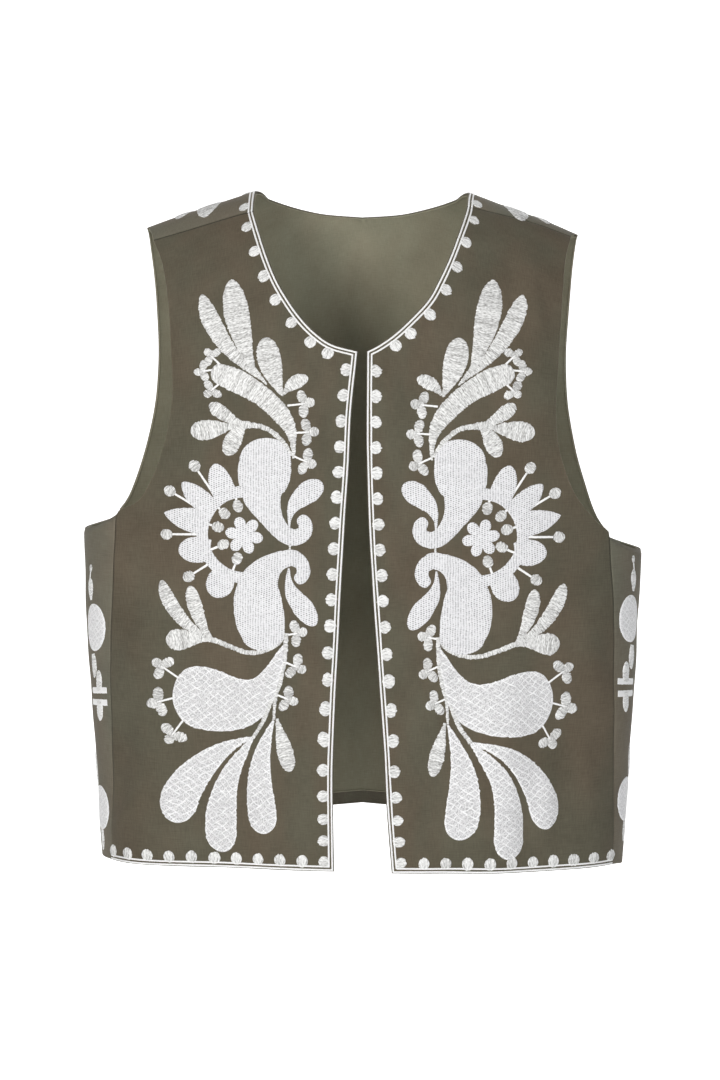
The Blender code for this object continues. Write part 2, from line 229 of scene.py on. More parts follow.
# Smaller soft creases: panel, one end (x, z), other end (x, z), half width, height
CREASES = (
    ("front", (-0.196, -0.500), (-0.168, -0.455), 0.0060, 0.0027),
    ("front", (-0.190, -0.470), (-0.176, -0.380), 0.0080, -0.0017),
    ("front", (-0.152, -0.500), (-0.146, -0.430), 0.0070, 0.0015),
    ("front", (-0.138, -0.120), (-0.130, -0.045), 0.0055, 0.0015),
    ("front", (-0.116, -0.105), (-0.114, -0.050), 0.0060, -0.0014),
    ("front", (-0.036, -0.330), (-0.030, -0.260), 0.0070, 0.0010),
    ("front", (0.138, -0.505), (0.142, -0.430), 0.0075, 0.0026),
    ("front", (0.176, -0.500), (0.168, -0.400), 0.0080, 0.0020),
    ("front", (0.122, -0.508), (0.126, -0.462), 0.0060, -0.0015),
    ("front", (0.136, -0.125), (0.128, -0.050), 0.0055, 0.0015),
    ("front", (0.118, -0.110), (0.112, -0.045), 0.0065, -0.0014),
    ("front", (0.030, -0.500), (0.036, -0.420), 0.0070, 0.0014),
    ("front", (-0.188, -0.385), (-0.158, -0.300), 0.0100, 0.0024),
    ("front", (-0.182, -0.345), (-0.140, -0.235), 0.0110, -0.0020),
    ("front", (0.186, -0.400), (0.160, -0.300), 0.0100, 0.0022),
    ("front", (-0.100, -0.512), (-0.090, -0.470), 0.0080, 0.0013),
    ("front", (0.082, -0.512), (0.086, -0.468), 0.0080, -0.0012),
    ("back", (-0.160, -0.470), (-0.120, -0.300), 0.0100, 0.0014),
    ("back", (-0.080, -0.450), (-0.085, -0.330), 0.0090, -0.0010),
    ("back", (0.010, -0.300), (0.022, -0.180), 0.0110, 0.0010),
    ("back", (0.090, -0.460), (0.070, -0.310), 0.0100, 0.0012),
    ("back", (0.165, -0.450), (0.150, -0.330), 0.0090, -0.0010),
    ("back", (-0.070, -0.140), (-0.105, -0.050), 0.0085, 0.0011),
    ("back", (0.075, -0.150), (0.110, -0.055), 0.0085, 0.0011),
    ("back", (-0.020, -0.120), (-0.045, -0.045), 0.0100, -0.0008),
)
# How far a crease runs on past its ends while it fades, as a share of its eased length
CREASE_END = 0.1

# Slow unevenness of hanging cloth: count of waves, shortest and longest wave, height of each
WAVES = 14
WAVE_SHORT = 0.035
WAVE_LONG = 0.120
WAVE_HEIGHT = 0.00016

# Small numbers of the working: rounds until a place settles, the step of a slope, and a length
# that counts as none
FORM_ROUNDS = 5
SEAM_ROUNDS = 4
SLOPE_STEP = 0.0006
TINY = 1e-6


def smooth_table(rows, keys, column):
    """Values of one column at many keys, on a smooth curve through the rows."""
    places = np.array([row[0] for row in rows])
    values = np.array([row[column] for row in rows])
    keys = np.clip(keys, places[0], places[-1])
    index = np.clip(np.searchsorted(places, keys) - 1, 0, len(rows) - 2)
    before = np.maximum(index - 1, 0)
    after = np.minimum(index + 2, len(rows) - 1)
    step = places[index + 1] - places[index]
    slope_in = (values[index + 1] - values[before]) / (places[index + 1] - places[before])
    slope_out = (values[after] - values[index]) / (places[after] - places[index])
    t = (keys - places[index]) / step
    return (
        values[index] * (2 * t**3 - 3 * t**2 + 1)
        + values[index + 1] * (3 * t**2 - 2 * t**3)
        + slope_in * step * (t**3 - 2 * t**2 + t)
        + slope_out * step * (t**3 - t**2)
    )


def side_column(side):
    """Column of a table that has one value for the right and one for the left."""
    return 1 if side == "right" else 2


def ridge_height(side, out):
    """Height of the shoulder ridge at a distance out from the centre line."""
    run = np.hypot(out, RIDGE_ROUNDING) - RIDGE_ROUNDING
    return RIDGE_PEAK - SIDES[side]["slope"] * run


def fold_out(front, x, z):
    """How far the largest folds push the cloth out."""
    out = np.zeros_like(x)
    for panel, x_hem, x_top, low, high, half_width, height in FOLDS:
        climb = np.clip((z - low) / (high - low), 0.0, 1.0)
        middle = x_hem + (x_top - x_hem) * climb
        across = np.exp(-(((x - middle) / half_width) ** 2))
        here = height * across * np.maximum(np.sin(math.pi * climb), 0.0) ** FOLD_FLATNESS
        out += np.where(front == (panel == "front"), here, 0.0)
    return out


def form_points(side, turn, climb):
    """Points of the outer form. turn is the angle from the centre front (0) to the centre back
    (pi). climb is the height, and above the lean it runs on up and over the ridge."""
    front = turn < math.pi / 2
    lean = np.where(front, FRONT_LEAN, BACK_LEAN)
    rise = np.maximum(0.0, climb - lean) / LEAN_SPAN
    over = rise > math.pi / 2
    base = np.where(over, FRONT_LEAN, lean)
    z = np.minimum(climb, lean)
    sine = np.sin(turn)
    for _ in range(FORM_ROUNDS):
        half_width = smooth_table(BODY_SECTIONS, z, 1)
        front_depth = smooth_table(BODY_SECTIONS, z, 2)
        back_depth = smooth_table(BODY_SECTIONS, z, 3)
        depth = np.where(front, front_depth, back_depth)
        reach = (np.abs(sine) / half_width) ** OVAL_POWER
        reach = reach + (np.abs(np.cos(turn)) / depth) ** OVAL_POWER
        radius = reach ** (-1.0 / OVAL_POWER)
        out = radius * sine
        leaning = base + (ridge_height(side, out) - base) * np.sin(rise)
        z = np.where(rise > 0.0, leaning, z)
    sign = SIDES[side]["sign"]
    radius = radius + fold_out(front, sign * out, z)
    radius = np.where(over, radius * front_depth / back_depth, radius)
    x = sign * np.where(over, out, radius * sine)
    y = -radius * np.cos(turn) * np.cos(rise)
    return np.stack([x, y, z], axis=-1)


def form_frame(side, turn, climb):
    """Points, outward normals, and the lengths that a unit of turn and of climb cover there."""
    step = SLOPE_STEP
    by_turn = form_points(side, turn + step, climb) - form_points(side, turn - step, climb)
    by_climb = form_points(side, turn, climb + step) - form_points(side, turn, climb - step)
    normal = np.cross(by_turn, by_climb) * SIDES[side]["sign"]
    normal /= np.linalg.norm(normal, axis=-1, keepdims=True)
    turn_length = np.linalg.norm(by_turn, axis=-1) / (2 * step)
    climb_length = np.linalg.norm(by_climb, axis=-1) / (2 * step)
    return form_points(side, turn, climb), normal, turn_length, climb_length


def crease_out(front, points):
    """How far the small creases and the slow unevenness move the cloth out."""
    x, z = points[..., 0], points[..., 2]
    out = np.zeros_like(x)
    for panel, low, high, half_width, height in CREASES:
        run = np.array(high) - np.array(low)
        length = np.hypot(*run)
        along = ((x - low[0]) * run[0] + (z - low[1]) * run[1]) / length**2
        away = ((x - low[0]) * run[1] - (z - low[1]) * run[0]) / length
        eased = np.clip(along * (1.0 - 2 * CREASE_END) + CREASE_END, 0.0, 1.0)
        ends = np.maximum(np.sin(math.pi * eased), 0.0) ** 2
        here = height * np.exp(-((away / half_width) ** 2)) * ends
        out += np.where(front == (panel == "front"), here, 0.0)
    draw = np.random.default_rng(SEED)
    for _ in range(WAVES):
        facing = draw.normal(size=3)
        facing *= 2 * math.pi / draw.uniform(WAVE_SHORT, WAVE_LONG) / np.linalg.norm(facing)
        out += WAVE_HEIGHT * np.sin(points @ facing + draw.uniform(0.0, 2 * math.pi))
    return out


def surface(side, turn, climb, height=0.0):
    """Points of the cloth's outer face, or at a height above it, and the normals there."""
    points, normal, _, _ = form_frame(side, turn, climb)
    lift = crease_out(turn < math.pi / 2, points) + height
    return points + normal * lift[..., None], normal


def turn_at(face, out, z):
    """Angle from the centre front of a point at a distance out from the centre line."""
    half_width = smooth_table(BODY_SECTIONS, z, 1)
    depth = smooth_table(BODY_SECTIONS, z, 2 if face == "front" else 3)
    inside = np.maximum(0.0, 1.0 - (np.abs(out) / half_width) ** OVAL_POWER)
    angle = np.arctan2(out, depth * inside ** (1.0 / OVAL_POWER))
    return angle if face == "front" else math.pi - angle


def climb_at(face, side, out, z):
    """Climb of a point at a height, on the front or on the back."""
    lean = FRONT_LEAN if face == "front" else BACK_LEAN
    share = np.clip((z - lean) / (ridge_height(side, out) - lean), 0.0, 1.0)
    return np.where(z <= lean, z, lean + LEAN_SPAN * np.arcsin(share))


def place(face, side, out, z):
    """Turn and climb, side by side, of points known by distance out and height."""
    out, z = np.broadcast_arrays(np.asarray(out, float), np.asarray(z, float))
    return np.stack([turn_at(face, out, z), climb_at(face, side, out, z)], axis=-1)


def over_ridge(side, out, z):
    """Turn and climb, on the back piece, of points that lie forward of the ridge."""
    share = np.clip((z - FRONT_LEAN) / (ridge_height(side, out) - FRONT_LEAN), 0.0, 1.0)
    climb = BACK_LEAN + LEAN_SPAN * (math.pi - np.arcsin(share))
    return np.stack([turn_at("back", out, z), climb], axis=-1)


def hem_height(side, turn):
    """Height of the hem at an angle from the centre front."""
    return smooth_table(HEM, np.degrees(turn), side_column(side))


def seam_turn(z, gap_side=0):
    """Angle of the side seam at a height, or of the front's (-1) or the back's (1) edge there."""
    half_width = smooth_table(SIDE_SEAM, z, 1)
    return turn_at("front", half_width, z) + gap_side * SEAM_GAP / 2 / half_width


def armhole_bottom(side, turn):
    """Climb of the armhole's edge where it passes under the arm."""
    away = turn - ARMHOLE_LOW_TURN
    return SIDES[side]["armhole_low"] + ARMHOLE_DIP * away**2 + ARMHOLE_DIP_AT_ENDS * away**4


def seam_top(side):
    """Height of the side seam's upper end."""
    height = SIDES[side]["armhole_low"]
    for _ in range(SEAM_ROUNDS):
        height = float(armhole_bottom(side, seam_turn(height)))
    return height


# Cloth shells: the solids' own edges with finer cells, and the finest beside a cloth edge

FINE_EDGE = (0.0, 0.0003, 0.0007, 0.0012, 0.0019)
FINE_CLEAR = 1.3
FRONT_ACROSS = 64
FRONT_UP = {"side": 70, "edge": 34, "neck": 42}
BACK_ACROSS = 46
BACK_ROUND_SIDE = 34
BACK_UP = {"side": 66, "centre": 44, "neck": 40}
PATH_STEPS = 160
SPOT_RADIUS = 0.15
# Rough lengths of the runs of cells that end at a cloth edge
ACROSS_LENGTH = 0.16
ROUND_SIDE_LENGTH = 0.12
BACK_SIDE_LENGTH = 0.25
FRONT_NECK_LENGTH = 0.15
BACK_NECK_LENGTH = 0.10


def stops(count, length=1.0, fine_start=False, fine_end=False):
    """Shares from 0 to 1 that are even, with finer ones at an end that is a cloth edge."""
    even = np.linspace(0.0, 1.0, count + 1)
    fine = np.array(FINE_EDGE) / length
    if fine_start:
        even = np.concatenate([fine, even[even > fine[-1] * FINE_CLEAR]])
    if fine_end:
        even = np.concatenate([even[even < 1.0 - fine[-1] * FINE_CLEAR], (1.0 - fine)[::-1]])
    return even


def path_lengths(path):
    """Running length along a path of spots."""
    steps = np.hypot(np.diff(path[:, 0]) * SPOT_RADIUS, np.diff(path[:, 1]))
    return np.concatenate([[0.0], np.cumsum(steps)])


def back_across():
    """Shares from the centre back out to the arm's corner or the armhole."""
    return stops(BACK_ACROSS, ACROSS_LENGTH, fine_end=True)


def at_shares(path, shares):
    """Spots at shares of a path's length."""
    lengths = path_lengths(path)
    along = np.asarray(shares) * lengths[-1]
    return np.stack([np.interp(along, lengths, path[:, k]) for k in (0, 1)], axis=-1)


def front_edge_path(side, low, high):
    """Spots up the open front edge."""
    z = np.linspace(low, high, PATH_STEPS)
    return place("front", side, smooth_table(FRONT_EDGE, z, side_column(side)), z)


def front_neck_path(side):
    """Spots along the front neck, from its corner up to the shoulder seam."""
    z = np.linspace(FRONT_NECK[0][0], SHOULDER_SEAM[side][0], PATH_STEPS)
    return place("front", side, smooth_table(FRONT_NECK, z, side_column(side)), z)


def front_armhole_path(side):
    """Spots up the front's armhole, from the side seam to the shoulder seam."""
    share = np.linspace(0.0, 1.0, PATH_STEPS)
    low = seam_top(side)
    z = low + (SHOULDER_SEAM[side][1] - low) * share
    path = place("front", side, smooth_table(FRONT_ARMHOLE, share, side_column(side)), z)
    to_corner = np.maximum(0.0, 1.0 - share / CORNER_SHARE)
    path[:, 0] += (seam_turn(low, -1) - path[:, 0]) * to_corner
    return path


def back_armhole_path(side):
    """Spots up the back's armhole, from the underarm corner over the ridge to the seam."""
    share = 1.0 - (1.0 - np.linspace(0.0, 1.0, PATH_STEPS)) ** 2
    low = float(armhole_bottom(side, BACK_CORNER_TURN))
    z = low + (ridge_height(side, RIDGE_TIP) - low) * share
    path = place("back", side, smooth_table(BACK_ARMHOLE, share, 1), z)
    to_corner = np.maximum(0.0, 1.0 - share / CORNER_SHARE)
    path[:, 0] += (BACK_CORNER_TURN - path[:, 0]) * to_corner
    return np.vstack([path, over_ridge(side, SHOULDER_TIP, SHOULDER_SEAM[side][1])])


def back_neck_path(side):
    """Spots along the back neck, from the centre over the ridge to the shoulder seam."""
    out = np.linspace(0.0, BACK_NECK[-1][0], PATH_STEPS)
    path = place("back", side, out, smooth_table(BACK_NECK, out, 1))
    on_ridge = place("back", side, NECK_ON_RIDGE, ridge_height(side, NECK_ON_RIDGE))
    seam = SHOULDER_SEAM[side][0]
    last = over_ridge(side, smooth_table(FRONT_NECK, seam, side_column(side)), seam)
    return np.vstack([path, on_ridge, last])


def front_spots(side):
    """Grid of spots over one front, from the hem to the shoulder seam."""
    corner, split = FRONT_NECK[0][0], seam_top(side)
    hem_in = float(hem_height(side, 0.0))
    hem_out = float(hem_height(side, seam_turn(hem_in)))
    below = stops(FRONT_UP["side"], split - hem_in, fine_start=True)
    edge = stops(FRONT_UP["edge"])[1:]
    neck = stops(FRONT_UP["neck"], FRONT_NECK_LENGTH, fine_end=True)[1:]
    inner = [at_shares(front_edge_path(side, hem_in, split), below)]
    inner += [at_shares(front_edge_path(side, split, corner), edge)]
    inner += [at_shares(front_neck_path(side), neck)]
    z = np.linspace(hem_out, split, PATH_STEPS)
    outer = [at_shares(np.stack([seam_turn(z, -1), z], axis=-1), below)]
    share = np.concatenate([edge * len(edge), len(edge) + neck * len(neck)])
    outer += [at_shares(front_armhole_path(side), share / share[-1])]
    inner, outer = np.vstack(inner), np.vstack(outer)
    across = stops(FRONT_ACROSS, ACROSS_LENGTH, fine_start=True, fine_end=True)
    grid = inner[:, None, :] + (outer - inner)[:, None, :] * across[None, :, None]
    bend_left = np.zeros(len(inner))
    bend_left[:len(below)] = (1.0 - below) ** 2
    straight = grid[0, :, 1]
    bend = hem_height(side, grid[0, :, 0]) - straight
    grid[..., 1] += bend_left[:, None] * bend[None, :]
    grid[-1, :, 1] -= SEAM_GAP
    return grid


def back_side_spots(side):
    """Grid over half of the back below the arm, from the centre back to the side seam."""
    corner_climb = float(armhole_bottom(side, BACK_CORNER_TURN))
    across = back_across()
    inner_turn = math.pi + (BACK_CORNER_TURN - math.pi) * across
    inner_top = UNDERARM_AT_BACK + (corner_climb - UNDERARM_AT_BACK) * across
    round_side = stops(BACK_ROUND_SIDE, ROUND_SIDE_LENGTH, fine_end=True)[1:]
    rows = []
    for share in stops(BACK_UP["side"], BACK_SIDE_LENGTH, fine_start=True):
        climb = np.full(len(round_side), HEM[0][1])
        for _ in range(FORM_ROUNDS):
            turn = BACK_CORNER_TURN + (seam_turn(climb, 1) - BACK_CORNER_TURN) * round_side
            hem = hem_height(side, turn)
            climb = hem + (armhole_bottom(side, turn) - hem) * share
        hem = hem_height(side, inner_turn)
        inner = np.stack([inner_turn, hem + (inner_top - hem) * share], axis=-1)
        rows.append(np.vstack([inner, np.stack([turn, climb], axis=-1)]))
    return np.array(rows)


def back_top_spots(side):
    """Grid over half of the back above the arm's corner, over the ridge to the shoulder seam."""
    low = np.array([math.pi, UNDERARM_AT_BACK])
    centre = stops(BACK_UP["centre"])
    neck = stops(BACK_UP["neck"], BACK_NECK_LENGTH, fine_end=True)[1:]
    line = np.array([low, place("back", side, 0.0, BACK_NECK[0][1])])
    inner = np.vstack([at_shares(line, centre), at_shares(back_neck_path(side), neck)])
    share = np.concatenate([centre * len(centre), len(centre) + neck * len(neck)])
    outer = at_shares(back_armhole_path(side), share / share[-1])
    grid = inner[:, None, :] + (outer - inner)[:, None, :] * back_across()[None, :, None]
    grid[-1, :, 1] -= SEAM_GAP
    return grid


# How far an edge's painted highlight and painted seam shade tell in each row of cells from it
PAINTED_EDGE_SHARES = (1.0, 0.9, 0.3)


def painted_edge_light_and_shade(outer, top):
    """Painted tones of a grid from those of its outer column and its top row: 1 for a painted
    highlight on a turned edge that catches the light, -1 for painted shade along a seam."""
    tones = np.zeros((len(outer), len(top)))
    for step, share in enumerate(PAINTED_EDGE_SHARES):
        tones[:, -1 - step] += share * outer
        tones[-1 - step, :] += share * top
    return np.clip(tones, -1.0, 1.0)


def front_patch(side):
    """One front: its spots, and its tones of painted highlight on the armhole edge and painted shade
    at the seams.
    """
    spots = front_spots(side)
    on_armhole = spots[:, -1, 1] > seam_top(side) + TINY
    tones = painted_edge_light_and_shade(np.where(on_armhole, 1.0, -1.0), -np.ones(spots.shape[1]))
    return side, "front", spots, tones


def back_patches(low, high):
    """Both halves of the back: their spots, and tones of painted highlight on the armhole edge and
    painted shade at the shoulder seam.
    """
    patches = [(side, "back", low[side], np.zeros(low[side].shape[:2])) for side in SIDES]
    for side in SIDES:
        rows, columns = high[side].shape[:2]
        patches.append((side, "back", high[side], painted_edge_light_and_shade(np.ones(rows), -np.ones(columns))))
    return patches


def lining_spots(side, low):
    """The back's grid below the arm, with its lowest row raised to where the lining ends."""
    grid = low.copy()
    height = hem_height(side, grid[0, :, 0]) + HEM_TURN_UP
    top = grid[-1, :, 1]
    share = (grid[..., 1] - grid[:1, :, 1]) / (top - grid[0, :, 1])
    grid[..., 1] = height + (top - height) * share
    return grid


def lining_patches(low, high):
    """Both halves of the lining: their spots and plain tones."""
    grids = [(side, lining_spots(side, low[side])) for side in SIDES]
    grids += [(side, high[side]) for side in SIDES]
    return [(side, "back", spots, np.zeros(spots.shape[:2])) for side, spots in grids]


def merged(points, faces, extras):
    """Points with the shared ones made one, the faces on them, and other values kept with them."""
    _, first, known = np.unique(np.round(points, 6), axis=0, return_index=True, return_inverse=True)
    return points[first], known.reshape(-1)[faces], [extra[first] for extra in extras]


def grid_faces(rows, columns, flip):
    """Corner numbers of the cells of one grid."""
    number = np.arange(rows * columns).reshape(rows, columns)
    corners = [number[:-1, :-1], number[:-1, 1:], number[1:, 1:], number[1:, :-1]]
    faces = np.stack([corner.reshape(-1) for corner in corners], axis=-1)
    return faces[:, ::-1] if flip else faces


def edge_distances(points, faces):
    """Distance of each point from the nearest free edge of an open mesh."""
    pairs = np.sort(np.vstack([faces[:, [k, (k + 1) % 4]] for k in range(4)]), axis=1)
    edges, count = np.unique(pairs, axis=0, return_counts=True)
    samples = []
    for a, b in edges[count == 1]:
        length = np.linalg.norm(points[b] - points[a])
        shares = np.linspace(0.0, 1.0, max(2, int(length / EDGE_SAMPLE) + 1))
        samples.append(points[a] + (points[b] - points[a]) * shares[:, None])
    samples = np.vstack(samples)
    tree = KDTree(len(samples))
    for index, sample in enumerate(samples):
        tree.insert(sample, index)
    tree.balance()
    return np.array([tree.find(point)[2] for point in points])


def mesh_object(name, points, faces, uv, material, shade):
    """Mesh object with a UV map in metres and a shade value at each point: painted edge highlight
    and seam shade on cloth, each stitch's own lightness on thread.
    """
    mesh = bpy.data.meshes.new(name)
    mesh.from_pydata(points.tolist(), [], faces.tolist())
    layer = mesh.uv_layers.new(name="UVMap")
    layer.data.foreach_set("uv", uv[faces.reshape(-1)].astype(np.float32).reshape(-1))
    mesh.attributes.new("shade", "FLOAT", "POINT").data.foreach_set("value", shade.astype(np.float32))
    mesh.materials.append(material)
    mesh.shade_smooth()
    piece = bpy.data.objects.new(name, mesh)
    bpy.context.scene.collection.objects.link(piece)
    return piece


def cloth_shell(name, patches, wall, sink, material):
    """Cloth piece over patches of (side, face, spots, tones), whose tones are a painted edge
    highlight
    and painted seam shade: an open sheet with rolled edges, and a wall that grows inward from it."""
    points, normals, uv, shade, faces, count = [], [], [], [], [], 0
    for side, face, spots, tones in patches:
        turn, climb = spots[..., 0], spots[..., 1]
        place_at, normal = surface(side, turn, climb, -sink)
        sign = SIDES[side]["sign"]
        across = sign * (turn if face == "front" else math.pi - turn) * SPOT_RADIUS
        flip = (side == "left") != (face == "front")
        faces.append(grid_faces(*turn.shape, flip) + count)
        points.append(place_at.reshape(-1, 3))
        normals.append(normal.reshape(-1, 3))
        uv.append(np.stack([across, climb], axis=-1).reshape(-1, 2))
        shade.append(tones.reshape(-1))
        count += turn.size
    points, faces, extras = merged(np.vstack(points), np.vstack(faces),
                                   [np.vstack(normals), np.vstack(uv), np.concatenate(shade)])
    normals, uv, shade = extras
    near = np.clip(1.0 - edge_distances(points, faces) / EDGE_ROLL, 0.0, 1.0)
    points = points - normals * (EDGE_ROLL_DEPTH * (1.0 - np.sqrt(1.0 - near**2)))[:, None]
    piece = mesh_object(name, points, faces, uv, material, shade)
    solid = piece.modifiers.new("wall", "SOLIDIFY")
    solid.thickness = wall
    solid.offset = -1.0
    return piece


# Materials

# Cloth colours, linear, where it is darkest and lightest: front, back, lining. The back and the
# lining are painted lighter as painted light
FRONT_TONES = ((0.084, 0.0710, 0.0475, 1.0), (0.126, 0.1085, 0.0750, 1.0))
# Back: the front's cloth painted lighter, a painted highlight where the sides face the light
BACK_PAINTED_LIGHTER_TONES = ((0.124, 0.112, 0.082, 1.0), (0.182, 0.167, 0.124, 1.0))
# Lining: its own greener colour, painted lighter to stand for light that doesn't reach inside the
# vest
LINING_TONES_PAINTED_LIGHTER = ((0.250, 0.236, 0.166, 1.0), (0.338, 0.322, 0.232, 1.0))
COOL_TINT = (0.95, 1.015, 1.02, 1.0)
WARM_TINT = (1.05, 0.985, 0.98, 1.0)
# How far the slow tinted patches tell on the front, the back and the lining
FRONT_PATCHY = 1.0
BACK_PATCHY = 0.8
LINING_PATCHY = 0.35
# Noises: scale across, scale along and, where it isn't the usual one, detail
WARP = (1500.0, 120.0)
WEFT = (110.0, 1400.0)
MOTTLE = (30.0, 22.0, 4.0)
PATCHES = (21.0, 9.0, 3.0)
# Parts of a noise's range that run from the darkest to the lightest, or from cool to warm
CLOTH_RANGE = (0.36, 0.64)
PATCH_RANGE = (0.38, 0.62)
THREAD_PITCH = 0.00062
THREAD_SHARE = 0.31
MOTTLE_SHARE = 0.38
WEAVE_SHARE = 0.6
# Strength of the painted highlight on armhole edges and of the painted shade at seams
PAINTED_EDGE_LIGHT = 0.65
CLOTH_BUMP = 0.00010

# Thread colours, linear, where a stitch is darkest and lightest
THREAD_TONES = {
    "satin": ((0.30, 0.295, 0.285, 1.0), (0.93, 0.93, 0.92, 1.0)),
    "fill": ((0.23, 0.225, 0.235, 1.0), (0.87, 0.87, 0.89, 1.0)),
    "net": ((0.44, 0.435, 0.445, 1.0), (0.97, 0.97, 0.98, 1.0)),
    "cord": ((0.66, 0.66, 0.65, 1.0), (0.96, 0.96, 0.96, 1.0)),
}
STITCH_UNEVENNESS = 0.13
STRANDS = (160.0, 2600.0, 3.0)
STRAND_GAPS = (420.0, 1100.0)
STRAND_SHARE = 0.75
SATIN_RANGE = (0.55, 0.88)
SATIN_BUMP = 0.00018
FILL_DRIFT = (90.0, 140.0)
FILL_DRIFT_REACH = 0.9
FILL_COLUMN = 0.0020
FILL_STEP = 0.0015
# Needle holes: radius of the pit, noise of its rim, and the rim's own and least radius
HOLE_PIT = 0.10
HOLE_NOISE = (900.0, 900.0, 1.0)
HOLE_RIM = (0.26, 0.22)
# How much deeper the deepest hole is, and the depth of the shallowest
HOLE_DEPTH = (0.9, 0.35)
FILL_ROWS = (300.0, 1800.0)
FILL_ROW_TONE = (0.75, 0.52)
FILL_BUMP = 0.00020
NET_STEP = 0.0054
NET_WOBBLE_NOISE = (75.0, 75.0, 3.0)
NET_WOBBLE = 0.0090
# Leans of the net's two sets of lines, and how far the wobble sways each
NET_LINES = ((0.80, 1.0), (-0.70, -0.8))
# Half widths of a line of the net, where it starts and where it is full, as shares of its step
NET_LINE = (0.14, 0.04)
NET_FADING_NOISE = (190.0, 190.0)
NET_FADING = (0.34, 0.56, 0.35, 1.0)
NET_GROUND_NOISE = (1300.0, 800.0)
NET_GROUND = (0.37, 0.62, 0.0, 0.76)
NET_BUMP = 0.00022
CORD_TWIST = (500.0, 1500.0, 1.0)
CORD_TONE = (0.5, 0.6)
CORD_BUMP = 0.00012

# Shader of each material: its inputs, then a row of their values
SHADER_INPUTS = ("Roughness", "Sheen Weight", "Sheen Roughness", "Specular IOR Level")
FINISHES = {
    "cloth": (0.88, 0.04, 0.5, 0.30),
    "satin": (0.50, 0.20, 0.4, 0.45),
    "fill": (0.60, 0.20, 0.4, 0.35),
    "net": (0.62, 0.20, 0.4, 0.35),
    "cord": (0.55, 0.20, 0.4, 0.40),
}


def add_node(tree, kind, inputs=None, **settings):
    """Node with its settings and inputs. An input is a value or another node's output."""
    node = tree.nodes.new(kind)
    for name, value in settings.items():
        setattr(node, name, value)
    for key, value in (inputs or {}).items():
        if isinstance(value, bpy.types.NodeSocket):
            tree.links.new(value, node.inputs[key])
        else:
            node.inputs[key].default_value = value
    return node


def maths(tree, operation, first, second=0.0, third=0.0, clamp=False):
    """Output of one sum on values or outputs."""
    inputs = {0: first, 1: second, 2: third}
    return add_node(tree, "ShaderNodeMath", inputs, operation=operation, use_clamp=clamp).outputs[0]


def plus(tree, first, second):
    """Output of first + second."""
    return maths(tree, "ADD", first, second)


def minus(tree, first, second):
    """Output of first - second."""
    return maths(tree, "SUBTRACT", first, second)


def times(tree, first, second):
    """Output of first x second."""
    return maths(tree, "MULTIPLY", first, second)


def scaled(tree, value, factor, start):
    """Output of value x factor + start."""
    return maths(tree, "MULTIPLY_ADD", value, factor, start)


def ranged(tree, value, low, high, to_low=0.0, to_high=1.0):
    """A value taken from one range to another, and kept inside that."""
    inputs = {0: value, 1: low, 2: high, 3: to_low, 4: to_high}
    return add_node(tree, "ShaderNodeMapRange", inputs).outputs[0]


def stretched_noise(tree, uv, across, along, detail=2.0):
    """Noise with its own scale across and along the cloth."""
    moved = add_node(tree, "ShaderNodeMapping", {"Vector": uv, "Scale": (across, along, 1.0)})
    inputs = {"Vector": moved.outputs[0], "Scale": 1.0, "Detail": detail}
    return add_node(tree, "ShaderNodeTexNoise", inputs).outputs["Fac"]


def blend(tree, share, first, second, how="MIX"):
    """Colour between two, or with MULTIPLY the first one times the second as far as share says."""
    inputs = {0: share, 6: first, 7: second}
    return add_node(tree, "ShaderNodeMix", inputs, data_type="RGBA", blend_type=how).outputs[2]


def new_material(name, finish):
    """Material with its shader set up, its tree, its shader and its UV map."""
    material = bpy.data.materials.new(name)
    material.use_nodes = True
    tree = material.node_tree
    shader = tree.nodes["Principled BSDF"]
    for key, value in zip(SHADER_INPUTS, FINISHES[finish]):
        shader.inputs[key].default_value = value
    uv = add_node(tree, "ShaderNodeUVMap", uv_map="UVMap").outputs[0]
    return material, tree, shader, uv


def split(tree, uv):
    """The two coordinates of a UV map."""
    parts = add_node(tree, "ShaderNodeSeparateXYZ", {0: uv})
    return parts.outputs[0], parts.outputs[1]


def add_bump(tree, shader, height, depth):
    """Bump of a real depth from a height of 0 to 1."""
    bump = add_node(tree, "ShaderNodeBump", {"Height": height, "Distance": depth, "Strength": 1.0})
    tree.links.new(bump.outputs[0], shader.inputs["Normal"])


def shade_output(tree):
    """A point's shade value, beside the tone of its material: painted edge highlight and painted
    seam shade on cloth, each stitch's own lightness on thread.
    """
    return add_node(tree, "ShaderNodeAttribute", attribute_name="shade").outputs["Fac"]


